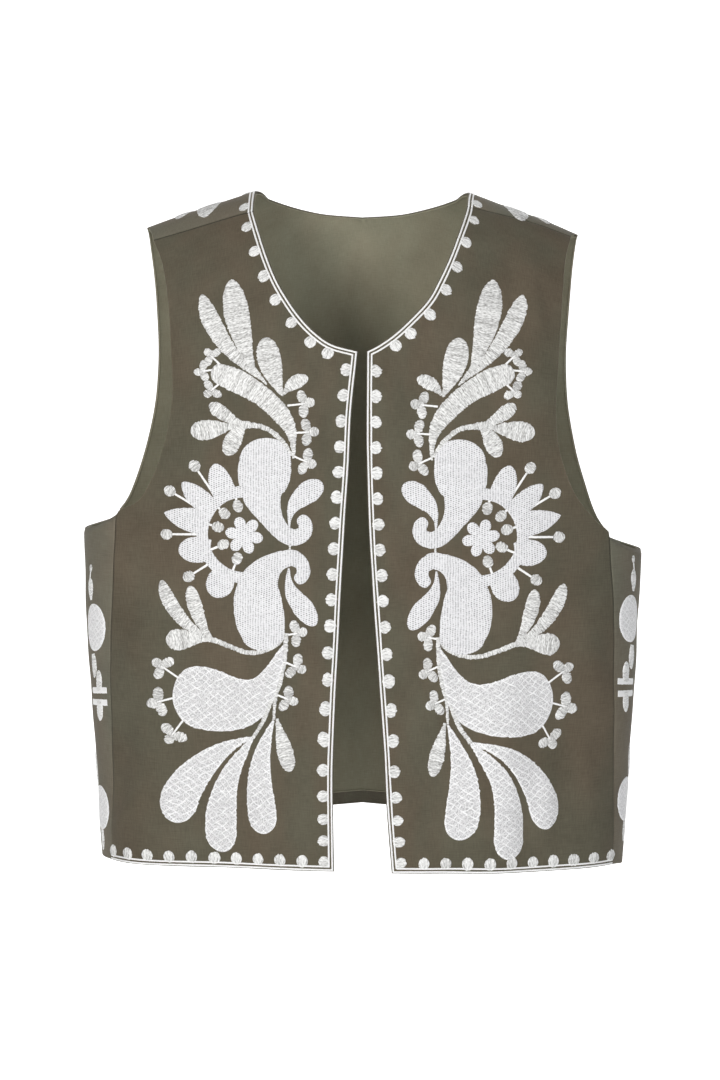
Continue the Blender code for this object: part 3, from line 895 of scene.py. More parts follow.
def cloth_material(name, tones, patchy):
    """Plain woven cotton: threads, slow mottling, patches a little warmer or cooler, and a painted
    highlight on the armhole edges with painted shade at the seams.
    """
    material, tree, shader, uv = new_material(name, "cloth")
    u, v = split(tree, uv)
    warp = times(tree, stretched_noise(tree, uv, *WARP), THREAD_SHARE)
    weft = times(tree, stretched_noise(tree, uv, *WEFT), THREAD_SHARE)
    mottle = times(tree, stretched_noise(tree, uv, *MOTTLE), MOTTLE_SHARE)
    threads = plus(tree, warp, weft)
    colour = blend(tree, ranged(tree, plus(tree, threads, mottle), *CLOTH_RANGE), *tones)
    warmth = ranged(tree, stretched_noise(tree, uv, *PATCHES), *PATCH_RANGE)
    tinted = blend(tree, patchy, colour, blend(tree, warmth, COOL_TINT, WARM_TINT), "MULTIPLY")
    # Painted highlight along the armhole edges and painted shade along the seams
    edge = scaled(tree, shade_output(tree), PAINTED_EDGE_LIGHT, 1.0)
    colour_with_painted_edges = blend(tree, 1.0, tinted, edge, "MULTIPLY")
    tree.links.new(colour_with_painted_edges, shader.inputs["Base Color"])
    turns = 2 * math.pi / THREAD_PITCH
    over = maths(tree, "SINE", times(tree, u, turns))
    under = maths(tree, "SINE", times(tree, v, turns))
    weave = scaled(tree, times(tree, over, under), 0.25, 0.5)
    add_bump(tree, shader, plus(tree, times(tree, weave, WEAVE_SHARE), threads), CLOTH_BUMP)
    return material


def sew_tone(tree, shader, tone, kind):
    """Thread colour from a tone of 0 to 1, with each stitch's own lightness."""
    own = times(tree, shade_output(tree), STITCH_UNEVENNESS)
    total = maths(tree, "ADD", tone, own, clamp=True)
    tree.links.new(blend(tree, total, *THREAD_TONES[kind]), shader.inputs["Base Color"])


def satin_material():
    """Long smooth stitches side by side, lightly uneven."""
    material, tree, shader, uv = new_material("satin_thread", "satin")
    strands = stretched_noise(tree, uv, *STRANDS)
    gaps = stretched_noise(tree, uv, *STRAND_GAPS)
    tone = plus(tree, times(tree, strands, STRAND_SHARE), times(tree, gaps, STRAND_SHARE))
    sew_tone(tree, shader, ranged(tree, tone, *SATIN_RANGE), "satin")
    add_bump(tree, shader, strands, SATIN_BUMP)
    return material


def fill_material():
    """Close filling stitches, with needle holes in staggered columns, some deeper than others."""
    material, tree, shader, uv = new_material("fill_thread", "fill")
    u, v = split(tree, uv)
    drift = stretched_noise(tree, uv, *FILL_DRIFT)
    lane = scaled(tree, drift, FILL_DRIFT_REACH, maths(tree, "DIVIDE", u, FILL_COLUMN))
    column = maths(tree, "FLOOR", lane)
    odd = times(tree, maths(tree, "FLOORED_MODULO", column, 2.0), 0.5)
    step = plus(tree, maths(tree, "DIVIDE", v, FILL_STEP), odd)
    cell = add_node(tree, "ShaderNodeCombineXYZ", {0: column, 1: maths(tree, "FLOOR", step)})
    own = add_node(tree, "ShaderNodeTexWhiteNoise", {"Vector": cell.outputs[0]}).outputs[0]
    across = minus(tree, maths(tree, "FRACT", lane), 0.5)
    along = minus(tree, maths(tree, "FRACT", step), 0.5)
    squares = plus(tree, times(tree, across, across), times(tree, along, along))
    reach = scaled(tree, stretched_noise(tree, uv, *HOLE_NOISE), *HOLE_RIM)
    hole = ranged(tree, maths(tree, "SQRT", squares), HOLE_PIT, reach)
    depth = times(tree, minus(tree, 1.0, hole), scaled(tree, own, *HOLE_DEPTH))
    rows = stretched_noise(tree, uv, *FILL_ROWS)
    tone = minus(tree, scaled(tree, rows, *FILL_ROW_TONE), depth)
    sew_tone(tree, shader, tone, "fill")
    add_bump(tree, shader, tone, FILL_BUMP)
    return material


def net_material():
    """Loose crossed stitches: a light net that fades here and there over short uneven threads."""
    material, tree, shader, uv = new_material("net_thread", "net")
    u, v = split(tree, uv)
    wobble = times(tree, stretched_noise(tree, uv, *NET_WOBBLE_NOISE), NET_WOBBLE)
    lines = []
    for lean, sway in NET_LINES:
        run = plus(tree, times(tree, u, lean), plus(tree, v, times(tree, wobble, sway)))
        lane = maths(tree, "FRACT", maths(tree, "DIVIDE", run, NET_STEP))
        away = maths(tree, "ABSOLUTE", minus(tree, lane, 0.5))
        lines.append(ranged(tree, away, *NET_LINE))
    fading = ranged(tree, stretched_noise(tree, uv, *NET_FADING_NOISE), *NET_FADING)
    net = times(tree, maths(tree, "MAXIMUM", *lines), fading)
    ground = ranged(tree, stretched_noise(tree, uv, *NET_GROUND_NOISE), *NET_GROUND)
    tone = maths(tree, "MAXIMUM", ground, net)
    sew_tone(tree, shader, tone, "net")
    add_bump(tree, shader, tone, NET_BUMP)
    return material


def cord_material():
    """Tight white cord."""
    material, tree, shader, uv = new_material("cord_thread", "cord")
    twist = stretched_noise(tree, uv, *CORD_TWIST)
    sew_tone(tree, shader, scaled(tree, twist, *CORD_TONE), "cord")
    add_bump(tree, shader, twist, CORD_BUMP)
    return material


# Stage, light and camera

def add_stage():
    """White floor that bends up into a backdrop."""
    profile = [(STAGE_FRONT, FLOOR_HEIGHT)]
    for step in range(BEND_STEPS + 1):
        angle = math.pi / 2 * step / BEND_STEPS
        profile.append((BACKDROP_AT - BACKDROP_BEND * (1.0 - math.sin(angle)),
                        FLOOR_HEIGHT + BACKDROP_BEND * (1.0 - math.cos(angle))))
    profile.append((BACKDROP_AT, BACKDROP_TOP))
    points = [(x, y, z) for y, z in profile for x in (-STAGE_HALF_WIDTH, STAGE_HALF_WIDTH)]
    faces = [(2 * i, 2 * i + 1, 2 * i + 3, 2 * i + 2) for i in range(len(profile) - 1)]
    mesh = bpy.data.meshes.new("backdrop")
    mesh.from_pydata(points, [], faces)
    mesh.shade_smooth()
    white = bpy.data.materials.new("stage_white")
    white.use_nodes = True
    tree = white.node_tree
    shader = tree.nodes["Principled BSDF"]
    shader.inputs["Base Color"].default_value = STAGE_WHITE
    shader.inputs["Roughness"].default_value = 1.0
    shader.inputs["Emission Color"].default_value = WHITE
    place_at = add_node(tree, "ShaderNodeTexCoord").outputs["Object"]
    height = add_node(tree, "ShaderNodeSeparateXYZ", {0: place_at}).outputs[2]
    glow = ranged(tree, height, GLOW_FROM, GLOW_FULL, FLOOR_GLOW, STAGE_GLOW)
    tree.links.new(glow, shader.inputs["Emission Strength"])
    mesh.materials.append(white)
    backdrop = bpy.data.objects.new("backdrop", mesh)
    bpy.context.scene.collection.objects.link(backdrop)


def add_lights():
    """Large soft lights and an even white world."""
    for name, at, aim, size, power, colour in SOFT_LIGHTS:
        data = bpy.data.lights.new(name, "AREA")
        data.shape = "DISK"
        data.size = size
        data.energy = power
        data.color = colour
        light = bpy.data.objects.new(name, data)
        light.location = at
        light.rotation_euler = (Vector(aim) - Vector(at)).to_track_quat("-Z", "Y").to_euler()
        bpy.context.scene.collection.objects.link(light)
    world = bpy.data.worlds.new("even_white")
    world.use_nodes = True
    background = world.node_tree.nodes["Background"]
    background.inputs[0].default_value = WHITE
    background.inputs[1].default_value = WORLD_STRENGTH
    bpy.context.scene.world = world
    bpy.context.scene.view_settings.view_transform = "Standard"


def add_camera():
    """The photograph's view."""
    data = bpy.data.cameras.new("camera")
    data.lens = CAMERA_LENS_MM
    data.sensor_width = CAMERA_SENSOR_MM
    camera = bpy.data.objects.new("camera", data)
    x, y, z = CAMERA_TARGET
    back = CAMERA_DISTANCE * math.cos(CAMERA_ELEVATION)
    camera.location = (x, y - back, z + CAMERA_DISTANCE * math.sin(CAMERA_ELEVATION))
    camera.rotation_euler = (math.pi / 2 - CAMERA_ELEVATION, 0.0, 0.0)
    bpy.context.scene.collection.objects.link(camera)
    bpy.context.scene.camera = camera


# Embroidery. Its chart is measured in millimetres on one front: distance out from the centre line
# and distance down from the origin. The other front has it mirrored.

# Kinds of stitch: row pitch, crown height, ridge height, unevenness of the edge, squareness,
# how much the lightness varies from stitch to stitch
STITCHES = {
    "satin": (0.55, 0.75, 0.17, 0.22, 0.55, 1.0),
    "fill": (0.90, 0.60, 0.015, 0.10, 0.30, 0.15),
    "net": (0.80, 0.60, 0.02, 0.16, 0.30, 0.15),
    "cord": (0.55, 0.55, 0.06, 0.08, 0.50, 1.0),
}
# How far the rim of a band is sunk into the cloth
EDGE_SINK = 0.25
# Rows added at both ends of a band, as shares of the pitch, and the last even row's distance
TIP_ROWS = (0.03, 0.15, 0.45)
LAST_ROW = 0.4
THINNEST = 0.04
# Widths from which the edge is fully uneven and the crown is fully high
RAGGED_WIDTH = 3.0
CROWN_WIDTH = 7.0
CROWN_POWER = 0.4
DOME_POWER = 2.6
# Least and most height of a row's ridge, as shares of its kind's
BEAT = (0.5, 1.3)
COLUMNS_WIDE = (-1.0, -0.94, -0.82, -0.6, -0.3, 0.0, 0.3, 0.6, 0.82, 0.94, 1.0)
COLUMNS_NARROW = (-1.0, -0.8, -0.35, 0.35, 0.8, 1.0)
NARROW_BAND = 4.5
SMOOTH_STEPS = 14
LEAF_GROWS = np.array([0.0, 0.25, 0.5, 0.75, 1.0])
LEAF_CLOSES = np.array([0.35, 0.6, 0.8, 0.92, 0.975])
NET_BORDER = 1.0
NET_BORDER_TONE = 2.5

# The chart on the back: its top leaf lies over the ridge, it is stretched down from there, and
# its upper part is shifted out, more and more from one distance down to another
LEAF_TOP = 78.9
BACK_TOP = 64.5
BACK_STRETCH = 1.21
BACK_SHIFT = 24.5
BACK_SHIFT_FROM = 245.0
BACK_SHIFT_FULL = 150.0
# Half height and depth of the oval that the cloth follows over the shoulders, in metres
BACK_ARC_REACH = 0.205
BACK_ARC_DEPTH = 0.105
BACK_ARC_STEPS = 200

# Leaves: stitch, base out and down, tip out and down, bulge of the middle line, width, share of
# the length where it is widest, width of the base, slenderness of the base, sharpness of the tip
LEAVES = (
    ("satin", 74.3, 143.3, 120.6, 78.6, 7.8, 13.6, 0.74, 1.2, 1.25, 0.55),
    ("satin", 82.8, 134.7, 99.1, 67.3, 2.4, 19.4, 0.66, 4.4, 1.2, 0.56),
    ("satin", 60.1, 154.5, 73.3, 110.8, 2.0, 18.6, 0.68, 1.4, 1.1, 0.52),
    ("satin", 59.4, 153.3, 40.8, 141.2, 2.8, 10.6, 0.60, 1.5, 1.2, 0.50),
    ("satin", 90.0, 175.9, 114.6, 160.2, 1.6, 10.8, 0.72, 3.4, 1.5, 0.50),
    ("satin", 94.0, 176.8, 129.5, 182.0, 0.0, 15.4, 0.72, 2.4, 1.6, 0.50),
    ("satin", 89.6, 176.0, 102.4, 199.2, -1.2, 13.6, 0.62, 4.0, 1.1, 0.50),
    ("satin", 63.6, 398.0, 53.7, 438.6, 0.0, 12.4, 0.68, 2.0, 1.3, 0.50),
    ("satin", 114.9, 339.3, 153.0, 295.0, 7.2, 11.6, 0.70, 2.6, 1.2, 0.46),
    ("satin", 114.9, 339.0, 130.6, 298.6, 2.8, 11.8, 0.70, 2.8, 1.2, 0.50),
    ("satin", 114.9, 339.4, 149.6, 341.6, -1.2, 16.8, 0.76, 2.6, 2.1, 0.50),
    ("fill", 101.6, 232.4, 111.2, 205.6, 1.2, 18.9, 0.36, 17.6, 1.0, 0.55),
    ("fill", 113.6, 239.6, 136.2, 220.0, 0.8, 16.2, 0.36, 14.6, 1.0, 0.66),
    ("fill", 119.0, 250.4, 150.4, 243.4, 0.4, 19.4, 0.16, 18.4, 1.0, 0.78),
    ("fill", 115.0, 271.4, 139.0, 272.8, -1.2, 20.4, 0.42, 16.5, 1.0, 0.50),
    ("fill", 102.0, 285.8, 111.4, 307.0, -1.2, 21.4, 0.52, 15.0, 1.0, 0.50),
)

# Bands: stitch, then stations of out, down and width. A width of 0 at an end rounds that end off
BANDS = (
    ("satin", (113.8, 137.2, 0.0), (107.2, 138.4, 16.2), (95.6, 143.1, 18.0),
     (82.9, 149.8, 16.4), (72.5, 157.2, 15.3), (62.6, 166.8, 14.2), (56.3, 175.4, 11.2),
     (53.4, 183.0, 7.6), (52.2, 191.0, 4.4), (52.0, 201.2, 1.8)),
    ("satin", (94.2, 176.4, 5.6), (89.0, 176.2, 6.4), (83.0, 176.4, 4.5), (72.7, 178.6, 3.7),
     (64.6, 184.2, 3.5), (58.0, 191.2, 3.1), (53.0, 199.0, 1.8)),
    ("fill", (74.8, 186.0, 0.0), (73.4, 201.0, 39.5), (74.0, 211.6, 41.4), (75.0, 220.5, 38.0),
     (75.2, 229.0, 31.5), (72.9, 236.8, 24.8), (69.4, 244.2, 18.8), (65.0, 251.2, 15.2),
     (59.4, 257.4, 13.4), (52.4, 260.6, 12.9), (45.4, 258.4, 11.8), (42.6, 253.4, 10.8),
     (44.4, 248.6, 10.4), (48.8, 246.0, 0.0)),
    ("fill", (55.1, 252.8, 1.2), (54.9, 246.0, 3.4), (53.0, 239.4, 8.0), (49.2, 233.6, 12.9),
     (41.0, 226.6, 17.4), (30.1, 219.4, 0.0)),
    ("fill", (73.4, 346.4, 0.0), (74.6, 334.5, 34.0), (76.6, 325.0, 38.0), (78.4, 315.2, 38.4),
     (79.0, 304.5, 36.4), (77.2, 294.2, 30.6), (72.0, 285.6, 23.0), (65.6, 280.0, 16.5),
     (58.8, 277.0, 13.4), (52.2, 276.2, 12.6), (46.4, 279.8, 11.0), (44.4, 285.8, 10.6),
     (46.4, 290.6, 10.2), (51.2, 292.4, 0.0)),
    ("fill", (55.6, 283.7, 1.2), (55.6, 293.8, 5.4), (52.5, 303.4, 11.7), (45.2, 313.2, 16.0),
     (35.4, 327.0, 0.0)),
    ("satin", (54.6, 264.5, 1.8), (54.9, 273.5, 1.8)),
    ("satin", (83.4, 132.6, 4.6), (80.0, 137.4, 4.3), (75.6, 142.2, 3.0), (72.2, 146.0, 1.0)),
    ("satin", (117.0, 339.0, 4.4), (111.5, 340.0, 4.4), (101.8, 343.6, 3.9), (88.0, 348.0, 3.7),
     (76.4, 347.6, 3.5), (65.0, 343.0, 2.6), (60.0, 339.0, 1.8)),
    ("net", (57.8, 341.2, 2.0), (60.3, 348.8, 7.6), (63.0, 355.4, 10.6), (66.6, 362.2, 13.0),
     (71.0, 370.4, 18.6), (75.8, 377.2, 25.6), (82.6, 382.8, 33.6), (92.0, 386.6, 39.6),
     (103.0, 387.4, 44.4), (114.6, 386.0, 48.6), (126.2, 384.0, 49.4), (145.4, 384.4, 0.0)),
    ("satin", (57.2, 333.0, 4.0), (58.2, 353.5, 3.6), (61.2, 370.5, 3.2), (64.7, 382.4, 2.8),
     (65.8, 399.0, 2.2)),
    ("satin", (67.8, 384.5, 3.6), (74.0, 400.0, 3.4), (82.4, 413.4, 3.2)),
    ("net", (81.0, 412.9, 1.6), (96.0, 417.6, 6.6), (109.9, 425.0, 13.6), (119.4, 432.4, 18.4),
     (128.0, 441.4, 22.4), (134.8, 451.6, 24.6), (139.6, 462.6, 25.8), (142.6, 481.4, 0.0)),
    ("net", (83.2, 414.0, 2.6), (92.5, 427.0, 9.4), (101.4, 441.0, 15.2), (107.0, 456.2, 20.6),
     (109.8, 472.6, 25.0), (110.0, 487.0, 25.8), (108.4, 502.6, 0.0)),
    ("net", (65.9, 399.5, 1.6), (71.1, 413.0, 8.0), (75.7, 429.4, 15.2), (77.5, 445.8, 20.4),
     (76.9, 461.0, 23.8), (75.6, 472.8, 24.2), (73.2, 487.0, 0.0)),
)

# Three-petalled berries on a stalk: centre out and down, foot of the stalk out and down, size
TREFOILS = (
    (113.9, 124.6, 107.4, 131.0, 0.78),
    (119.8, 136.0, 112.6, 135.2, 0.78),
    (113.6, 150.6, 107.4, 145.0, 0.80),
    (43.9, 160.2, 56.6, 161.6, 0.98),
    (40.8, 181.4, 50.4, 182.0, 0.98),
    (42.3, 203.6, 51.5, 199.6, 0.98),
    (49.3, 333.2, 56.4, 334.4, 0.96),
    (49.7, 358.6, 57.4, 355.2, 0.96),
    (55.5, 383.2, 63.4, 380.0, 0.96),
    (153.3, 361.0, 141.4, 369.2, 1.00),
    (156.4, 388.6, 145.4, 385.2, 1.08),
    (144.9, 413.0, 138.0, 402.0, 1.00),
)
TREFOIL_TURN = math.radians(104.0)
# turn from the stalk's heading, length and width of each petal
TREFOIL_PETALS = ((-TREFOIL_TURN, 10.2, 7.7), (TREFOIL_TURN, 10.2, 7.7), (0.0, 7.8, 7.6))
TREFOIL_HEART = 0.5
TREFOIL_STALK_END = 2.5
TREFOIL_UNEVENNESS = 0.08
TREFOIL_TONES = (-1.2, 0.2)

# Rosette: an open ring round a six-petalled flower, with dots on stalks inside and outside it
ROSETTE = {"out": 88.0, "down": 258.9, "inner": 28.6, "band": 9.0, "from": -88.0, "to": 87.0}
FLOWER = {"out": 89.2, "down": 259.3, "petals": 6, "reach": 14.4, "width": 8.8, "turn": -10.0}
# Bulge, then after the width: widest place, width and slenderness of the base of each petal
PETAL_BULGE = 0.0
PETAL_SHAPE = (0.64, 3.2, 1.6)
PETAL_TONE = 0.3
DOTS_INSIDE = ((93.9, 237.3), (104.3, 243.0), (109.1, 253.3), (105.1, 266.4), (94.6, 277.0))
DOTS_OUTSIDE = (
    (126.8, 207.6, 110.6, 231.0),
    (145.9, 226.8, 122.8, 239.8),
    (148.8, 259.7, 121.0, 259.0),
    (131.6, 291.4, 111.5, 278.2),
)
RING_STATIONS = 9
DOT_SIZE = 8.6
# Length and width of a dot inside and outside the ring, as shares of the size
DOT_INSIDE_SHAPE = (1.12, 0.94)
DOT_OUTSIDE_SHAPE = (1.08, 1.0)
DOT_TONE = -0.6
# How far a stalk starts inside the ring's band and runs on past the middle of its dot
STALK_IN_BAND = 0.8
STALK_IN_DOT = 2.0
STALK_WIDTH = 1.9
STALK_TONE = 0.6


def smooth_line(points):
    """Dense points on a smooth curve, their running length, and the lengths at the given points."""
    points = np.asarray(points, float)
    padded = np.vstack([2 * points[0] - points[1], points, 2 * points[-1] - points[-2]])
    t = np.linspace(0.0, 1.0, SMOOTH_STEPS + 1)[1:, None]
    dense = [points[:1]]
    for k in range(len(points) - 1):
        a, b, c, d = padded[k:k + 4]
        curve = 2 * b + (c - a) * t + (2 * a - 5 * b + 4 * c - d) * t**2
        dense.append(0.5 * (curve + (3 * b - a - 3 * c + d) * t**3))
    line = np.vstack(dense)
    lengths = np.concatenate([[0.0], np.cumsum(np.linalg.norm(np.diff(line, axis=0), axis=1))])
    return line, lengths, lengths[::SMOOTH_STEPS]


def band_widths(along, at, widths):
    """Width along a band. An end station of width 0 closes it with a round end."""
    first = 1 if widths[0] == 0.0 else 0
    last = len(widths) - 2 if widths[-1] == 0.0 else len(widths) - 1
    rows = list(zip(at[first:last + 1], widths[first:last + 1]))
    wide = smooth_table(rows, along, 1) if len(rows) > 1 else np.full_like(along, rows[0][1])
    into_start = np.clip(1.0 - along / max(at[first], TINY), 0.0, 1.0)
    into_end = np.clip((along - at[last]) / max(at[-1] - at[last], TINY), 0.0, 1.0)
    if first == 1:
        wide = wide * np.sqrt(np.maximum(1.0 - into_start**2, 0.0))
    if last < len(widths) - 1:
        wide = wide * np.sqrt(np.maximum(1.0 - into_end**2, 0.0))
    return wide


def band(kind, stations, draw, tone=0.0):
    """Stitched band through stations of (x, y, width) in millimetres: a domed grid whose rows
    are its stitches. Returns x, y, height, shade, and the distances across and along."""
    pitch, crown, ridge, ragged, square, varied = STITCHES[kind]
    stations = np.asarray(stations, float)
    line, lengths, at = smooth_line(stations[:, :2])
    total = lengths[-1]
    along = np.arange(0.0, total - pitch * LAST_ROW, pitch)
    tips = pitch * np.array(TIP_ROWS)
    along = np.sort(np.concatenate([along, tips, total - tips, [total]]))
    wide = np.maximum(band_widths(along, at, stations[:, 2]), THINNEST)
    x, y = (np.interp(along, lengths, line[:, k]) for k in (0, 1))
    way = np.stack([np.gradient(x, along), np.gradient(y, along)], axis=-1)
    way /= np.linalg.norm(way, axis=1, keepdims=True)
    stitch = np.floor(along / (2 * pitch)).astype(int)
    rag = draw.normal(0.0, ragged, (stitch[-1] + 1, 2))[stitch]
    rag = rag * np.minimum(1.0, wide / RAGGED_WIDTH)[:, None]
    lightness = varied * draw.normal(0.0, 1.0, stitch[-1] + 1)[stitch]
    columns = np.array(COLUMNS_WIDE if stations[:, 2].max() > NARROW_BAND else COLUMNS_NARROW)
    across = columns[None, :]
    reach = wide[:, None] / 2 + np.where(across < 0.0, rag[:, :1], rag[:, 1:])
    reach = np.maximum(reach, THINNEST / 2)
    offset = across * reach
    px = x[:, None] - way[:, 1:] * offset
    py = y[:, None] + way[:, :1] * offset
    swell = crown * np.minimum(1.0, wide / CROWN_WIDTH)[:, None] ** CROWN_POWER
    height = swell * (1.0 - np.abs(across) ** DOME_POWER) ** square
    beat = np.where(np.arange(len(along)) % 2 == 0, 1.0, -1.0) * draw.uniform(*BEAT, len(along))
    height = height + ridge * beat[:, None] * (1.0 - across**4)
    height[:, [0, -1]] = -EDGE_SINK
    height[[0, -1], :] = -EDGE_SINK
    shade = np.broadcast_to(lightness[:, None] + tone, px.shape).copy()
    if kind == "net":
        from_edge = np.minimum(reach - np.abs(offset), (total - along)[:, None])
        shade += NET_BORDER_TONE * np.clip(2.0 - from_edge / NET_BORDER, 0.0, 1.0)
    along_grid = np.broadcast_to(along[:, None], px.shape)
    return px, py, height, shade, offset, along_grid


def leaf_stations(base, tip, bulge, width, widest, foot, slender=1.4, sharp=0.5):
    """Stations of a leaf: slender at its base, widest near its tip, and rounded or pointed."""
    base, tip = np.array(base, float), np.array(tip, float)
    run = tip - base
    side = np.array([-run[1], run[0]]) / np.linalg.norm(run)
    stations = []
    for share in np.concatenate([widest * LEAF_GROWS, widest + (1.0 - widest) * LEAF_CLOSES]):
        middle = base + run * share + side * bulge * 4 * share * (1.0 - share)
        if share <= widest:
            wide = foot + (width - foot) * math.sin(math.pi / 2 * share / widest) ** slender
        else:
            wide = width * (1.0 - ((share - widest) / (1.0 - widest)) ** 2) ** sharp
        stations.append((*middle, wide))
    return stations + [(*tip, 0.0)]


def oval_stations(centre, facing, length, width):
    """Stations of an oval whose long way faces a direction."""
    centre, facing = np.array(centre, float), np.array(facing, float)
    shares = ((-0.5, 0.0), (0.0, 1.0), (0.5, 0.0))
    return [(*(centre + facing * length * share), width * wide) for share, wide in shares]


def heading(angle):
    """Direction at an angle."""
    return np.array([math.cos(angle), math.sin(angle)])


def trefoil(centre, foot, size, draw):
    """Bands of a stalk with two side petals and one at its end."""
    centre, foot = np.array(centre), np.array(foot)
    facing = (centre - foot) / np.linalg.norm(centre - foot)
    angle = math.atan2(facing[1], facing[0])
    bands = []
    for turn, length, width in TREFOIL_PETALS:
        way = heading(angle + turn + draw.normal(0.0, TREFOIL_UNEVENNESS))
        middle = centre + way * size * (length / 2 + TREFOIL_HEART)
        petal = oval_stations(middle, way, length * size, width * size)
        bands.append(("satin", petal, draw.uniform(*TREFOIL_TONES)))
    end = centre + facing * TREFOIL_STALK_END * size
    stem = [(*foot, STALK_WIDTH * 0.9), (*end, STALK_WIDTH * 0.8)]
    bands.append(("cord", stem, STALK_TONE))
    return bands


def rosette():
    """Bands of the ring, the flower in it and the dots on stalks."""
    middle = np.array([ROSETTE["out"], ROSETTE["down"]])
    radius = ROSETTE["inner"] + ROSETTE["band"] / 2
    angles = np.radians(np.linspace(ROSETTE["from"], ROSETTE["to"], RING_STATIONS))
    bands = [("fill", [(*(middle + heading(a) * radius), ROSETTE["band"]) for a in angles], 0.0)]
    for dot in np.array(DOTS_INSIDE):
        way = (dot - middle) / np.linalg.norm(dot - middle)
        long_way, short_way = DOT_SIZE * np.array(DOT_INSIDE_SHAPE)
        bands.append(("satin", oval_stations(dot, way, long_way, short_way), DOT_TONE))
        foot, end = middle + way * (ROSETTE["inner"] + STALK_IN_BAND), dot + way * STALK_IN_DOT
        bands.append(("cord", [(*foot, STALK_WIDTH), (*end, STALK_WIDTH)], STALK_TONE))
    for out, down, foot_out, foot_down in DOTS_OUTSIDE:
        dot, foot = np.array([out, down]), np.array([foot_out, foot_down])
        way = (dot - foot) / np.linalg.norm(dot - foot)
        long_way, short_way = DOT_SIZE * np.array(DOT_OUTSIDE_SHAPE)
        bands.append(("satin", oval_stations(dot, way, long_way, short_way), DOT_TONE))
        end = dot - way * STALK_IN_DOT
        bands.append(("cord", [(*foot, STALK_WIDTH * 1.1), (*end, STALK_WIDTH * 0.9)], STALK_TONE))
    core = np.array([FLOWER["out"], FLOWER["down"]])
    for petal in range(FLOWER["petals"]):
        way = heading(math.radians(FLOWER["turn"] + 360.0 * petal / FLOWER["petals"]))
        tip = core + way * FLOWER["reach"]
        stations = leaf_stations(core, tip, PETAL_BULGE, FLOWER["width"], *PETAL_SHAPE)
        bands.append(("fill", stations, PETAL_TONE))
    return bands


def leaf_bands(leaves, tone):
    """Bands of the rows of a table of leaves."""
    return [(kind, leaf_stations(leaf[:2], leaf[2:4], *leaf[4:]), tone) for kind, *leaf in leaves]


def chart_bands(draw):
    """Every band of one panel's ornament: stitch, stations and tone."""
    bands = leaf_bands(LEAVES, 0.0)
    bands += [(kind, stations, 0.0) for kind, *stations in BANDS]
    for *centre, foot_out, foot_down, size in TREFOILS:
        bands += trefoil(centre, (foot_out, foot_down), size, draw)
    return bands + rosette()


def chart_spots(side, face, out, down):
    """Spots on one panel for chart places in millimetres."""
    if face == "front":
        z = -(down * MM + SIDES[side]["drop"] * np.maximum(0.0, down * MM - DROP_FROM))
        return place("front", side, out * MM, z)
    up = (BACK_TOP - (down - LEAF_TOP) * BACK_STRETCH) * MM
    lifted = np.clip((BACK_SHIFT_FROM - down) / (BACK_SHIFT_FROM - BACK_SHIFT_FULL), 0.0, 1.0)
    out = out + BACK_SHIFT * lifted**2 * (3.0 - 2.0 * lifted)
    rise = np.linspace(0.0, math.pi, BACK_ARC_STEPS)
    steps = np.hypot(BACK_ARC_REACH * np.cos(rise), BACK_ARC_DEPTH * np.sin(rise)) * rise[1]
    arc = np.cumsum(steps) - steps[0]
    rise_here = np.interp(up - BACK_LEAN, arc, rise)
    climb = np.where(up > BACK_LEAN, BACK_LEAN + LEAN_SPAN * rise_here, up)
    z = np.minimum(up, BACK_LEAN)
    return np.stack([turn_at("back", out * MM, z), climb], axis=-1)


# Kinds of stitch whose pattern runs on from one shape to the next
CHARTED = ("fill", "net")


def pile(piles, kind, side, spots, grid):
    """Keep one stitched grid with the others of its kind."""
    x, y, height, shade, offset, along = grid
    across, along = (x, y) if kind in CHARTED else (offset, along)
    piles.setdefault(kind, []).append((side, spots, height * MM, shade, across * MM, along * MM))


def sew_chart(piles, side, face, draw):
    """Sew the ornament on one panel."""
    for kind, stations, tone in chart_bands(draw):
        grid = band(kind, stations, draw, tone)
        pile(piles, kind, side, chart_spots(side, face, grid[0], grid[1]), grid)


# Trim: a double raised line and a row of oval dots along the neck, front edges and hem

LINE_WIDTH = 1.45
LINE_INSETS = (1.35, 3.85)
LINE_PITCH = 0.6
LINE_COLUMNS = (-1.0, -0.7, 0.0, 0.7, 1.0)
LINE_HEIGHT = 0.62
LINE_DOME_POWER = 2.4
LINE_BEAT = (0.07, -0.03)
# How the lines sway: reach, distance for one radian of the wave, and shake at every stitch
LINE_SWAY = 0.07
LINE_WAVE = 11.0
LINE_SHAKE = 0.025
# Middle and spread of the lightness of the lines' stitches
LINE_TONES = (0.5, 0.5)
# Trim dots: distance of the middle from the edge, length along the edge, length away from it
DOT_INSET = 7.5
NECK_DOT = (9.4, 8.8)
TRIM_DOT_TONES = (0.2, 1.4)
# Spread of a trim dot's turn, size and distance from the edge
TRIM_DOT_TURN = 0.12
TRIM_DOT_SIZE = 0.03
TRIM_DOT_SHIFT = 0.15
HEM_DOT_LENGTH = 9.8
HEM_DOT_SHARE = 0.49
DOT_ALONG_SHARE = 0.505
# First and last dot of the hem, the open edge and the neck: metres from each run's ends
HEM_DOT_ENDS = (0.0040, 0.0245)
EDGE_DOT_ENDS = (0.0075, 0.0150)
NECK_DOT_ENDS = (0.0200, 0.0128)
BACK_NECK_DOT_ENDS = (0.0085, 0.0095)
# Distances between the dots of the open edge, from the hem up, and the even one above them
EDGE_DOT_GAPS = (16.1, 16.4, 17.6, 19.7, 23.2, 23.3, 22.0, 20.3, 20.5, 19.7)
EDGE_DOT_GAP = 19.15
EDGE_DOTS = 20
# Distances between the dots of the neck, from its corner up
NECK_DOT_GAPS = (16.5, 24.0, 26.0, 25.0, 27.0, 29.0)
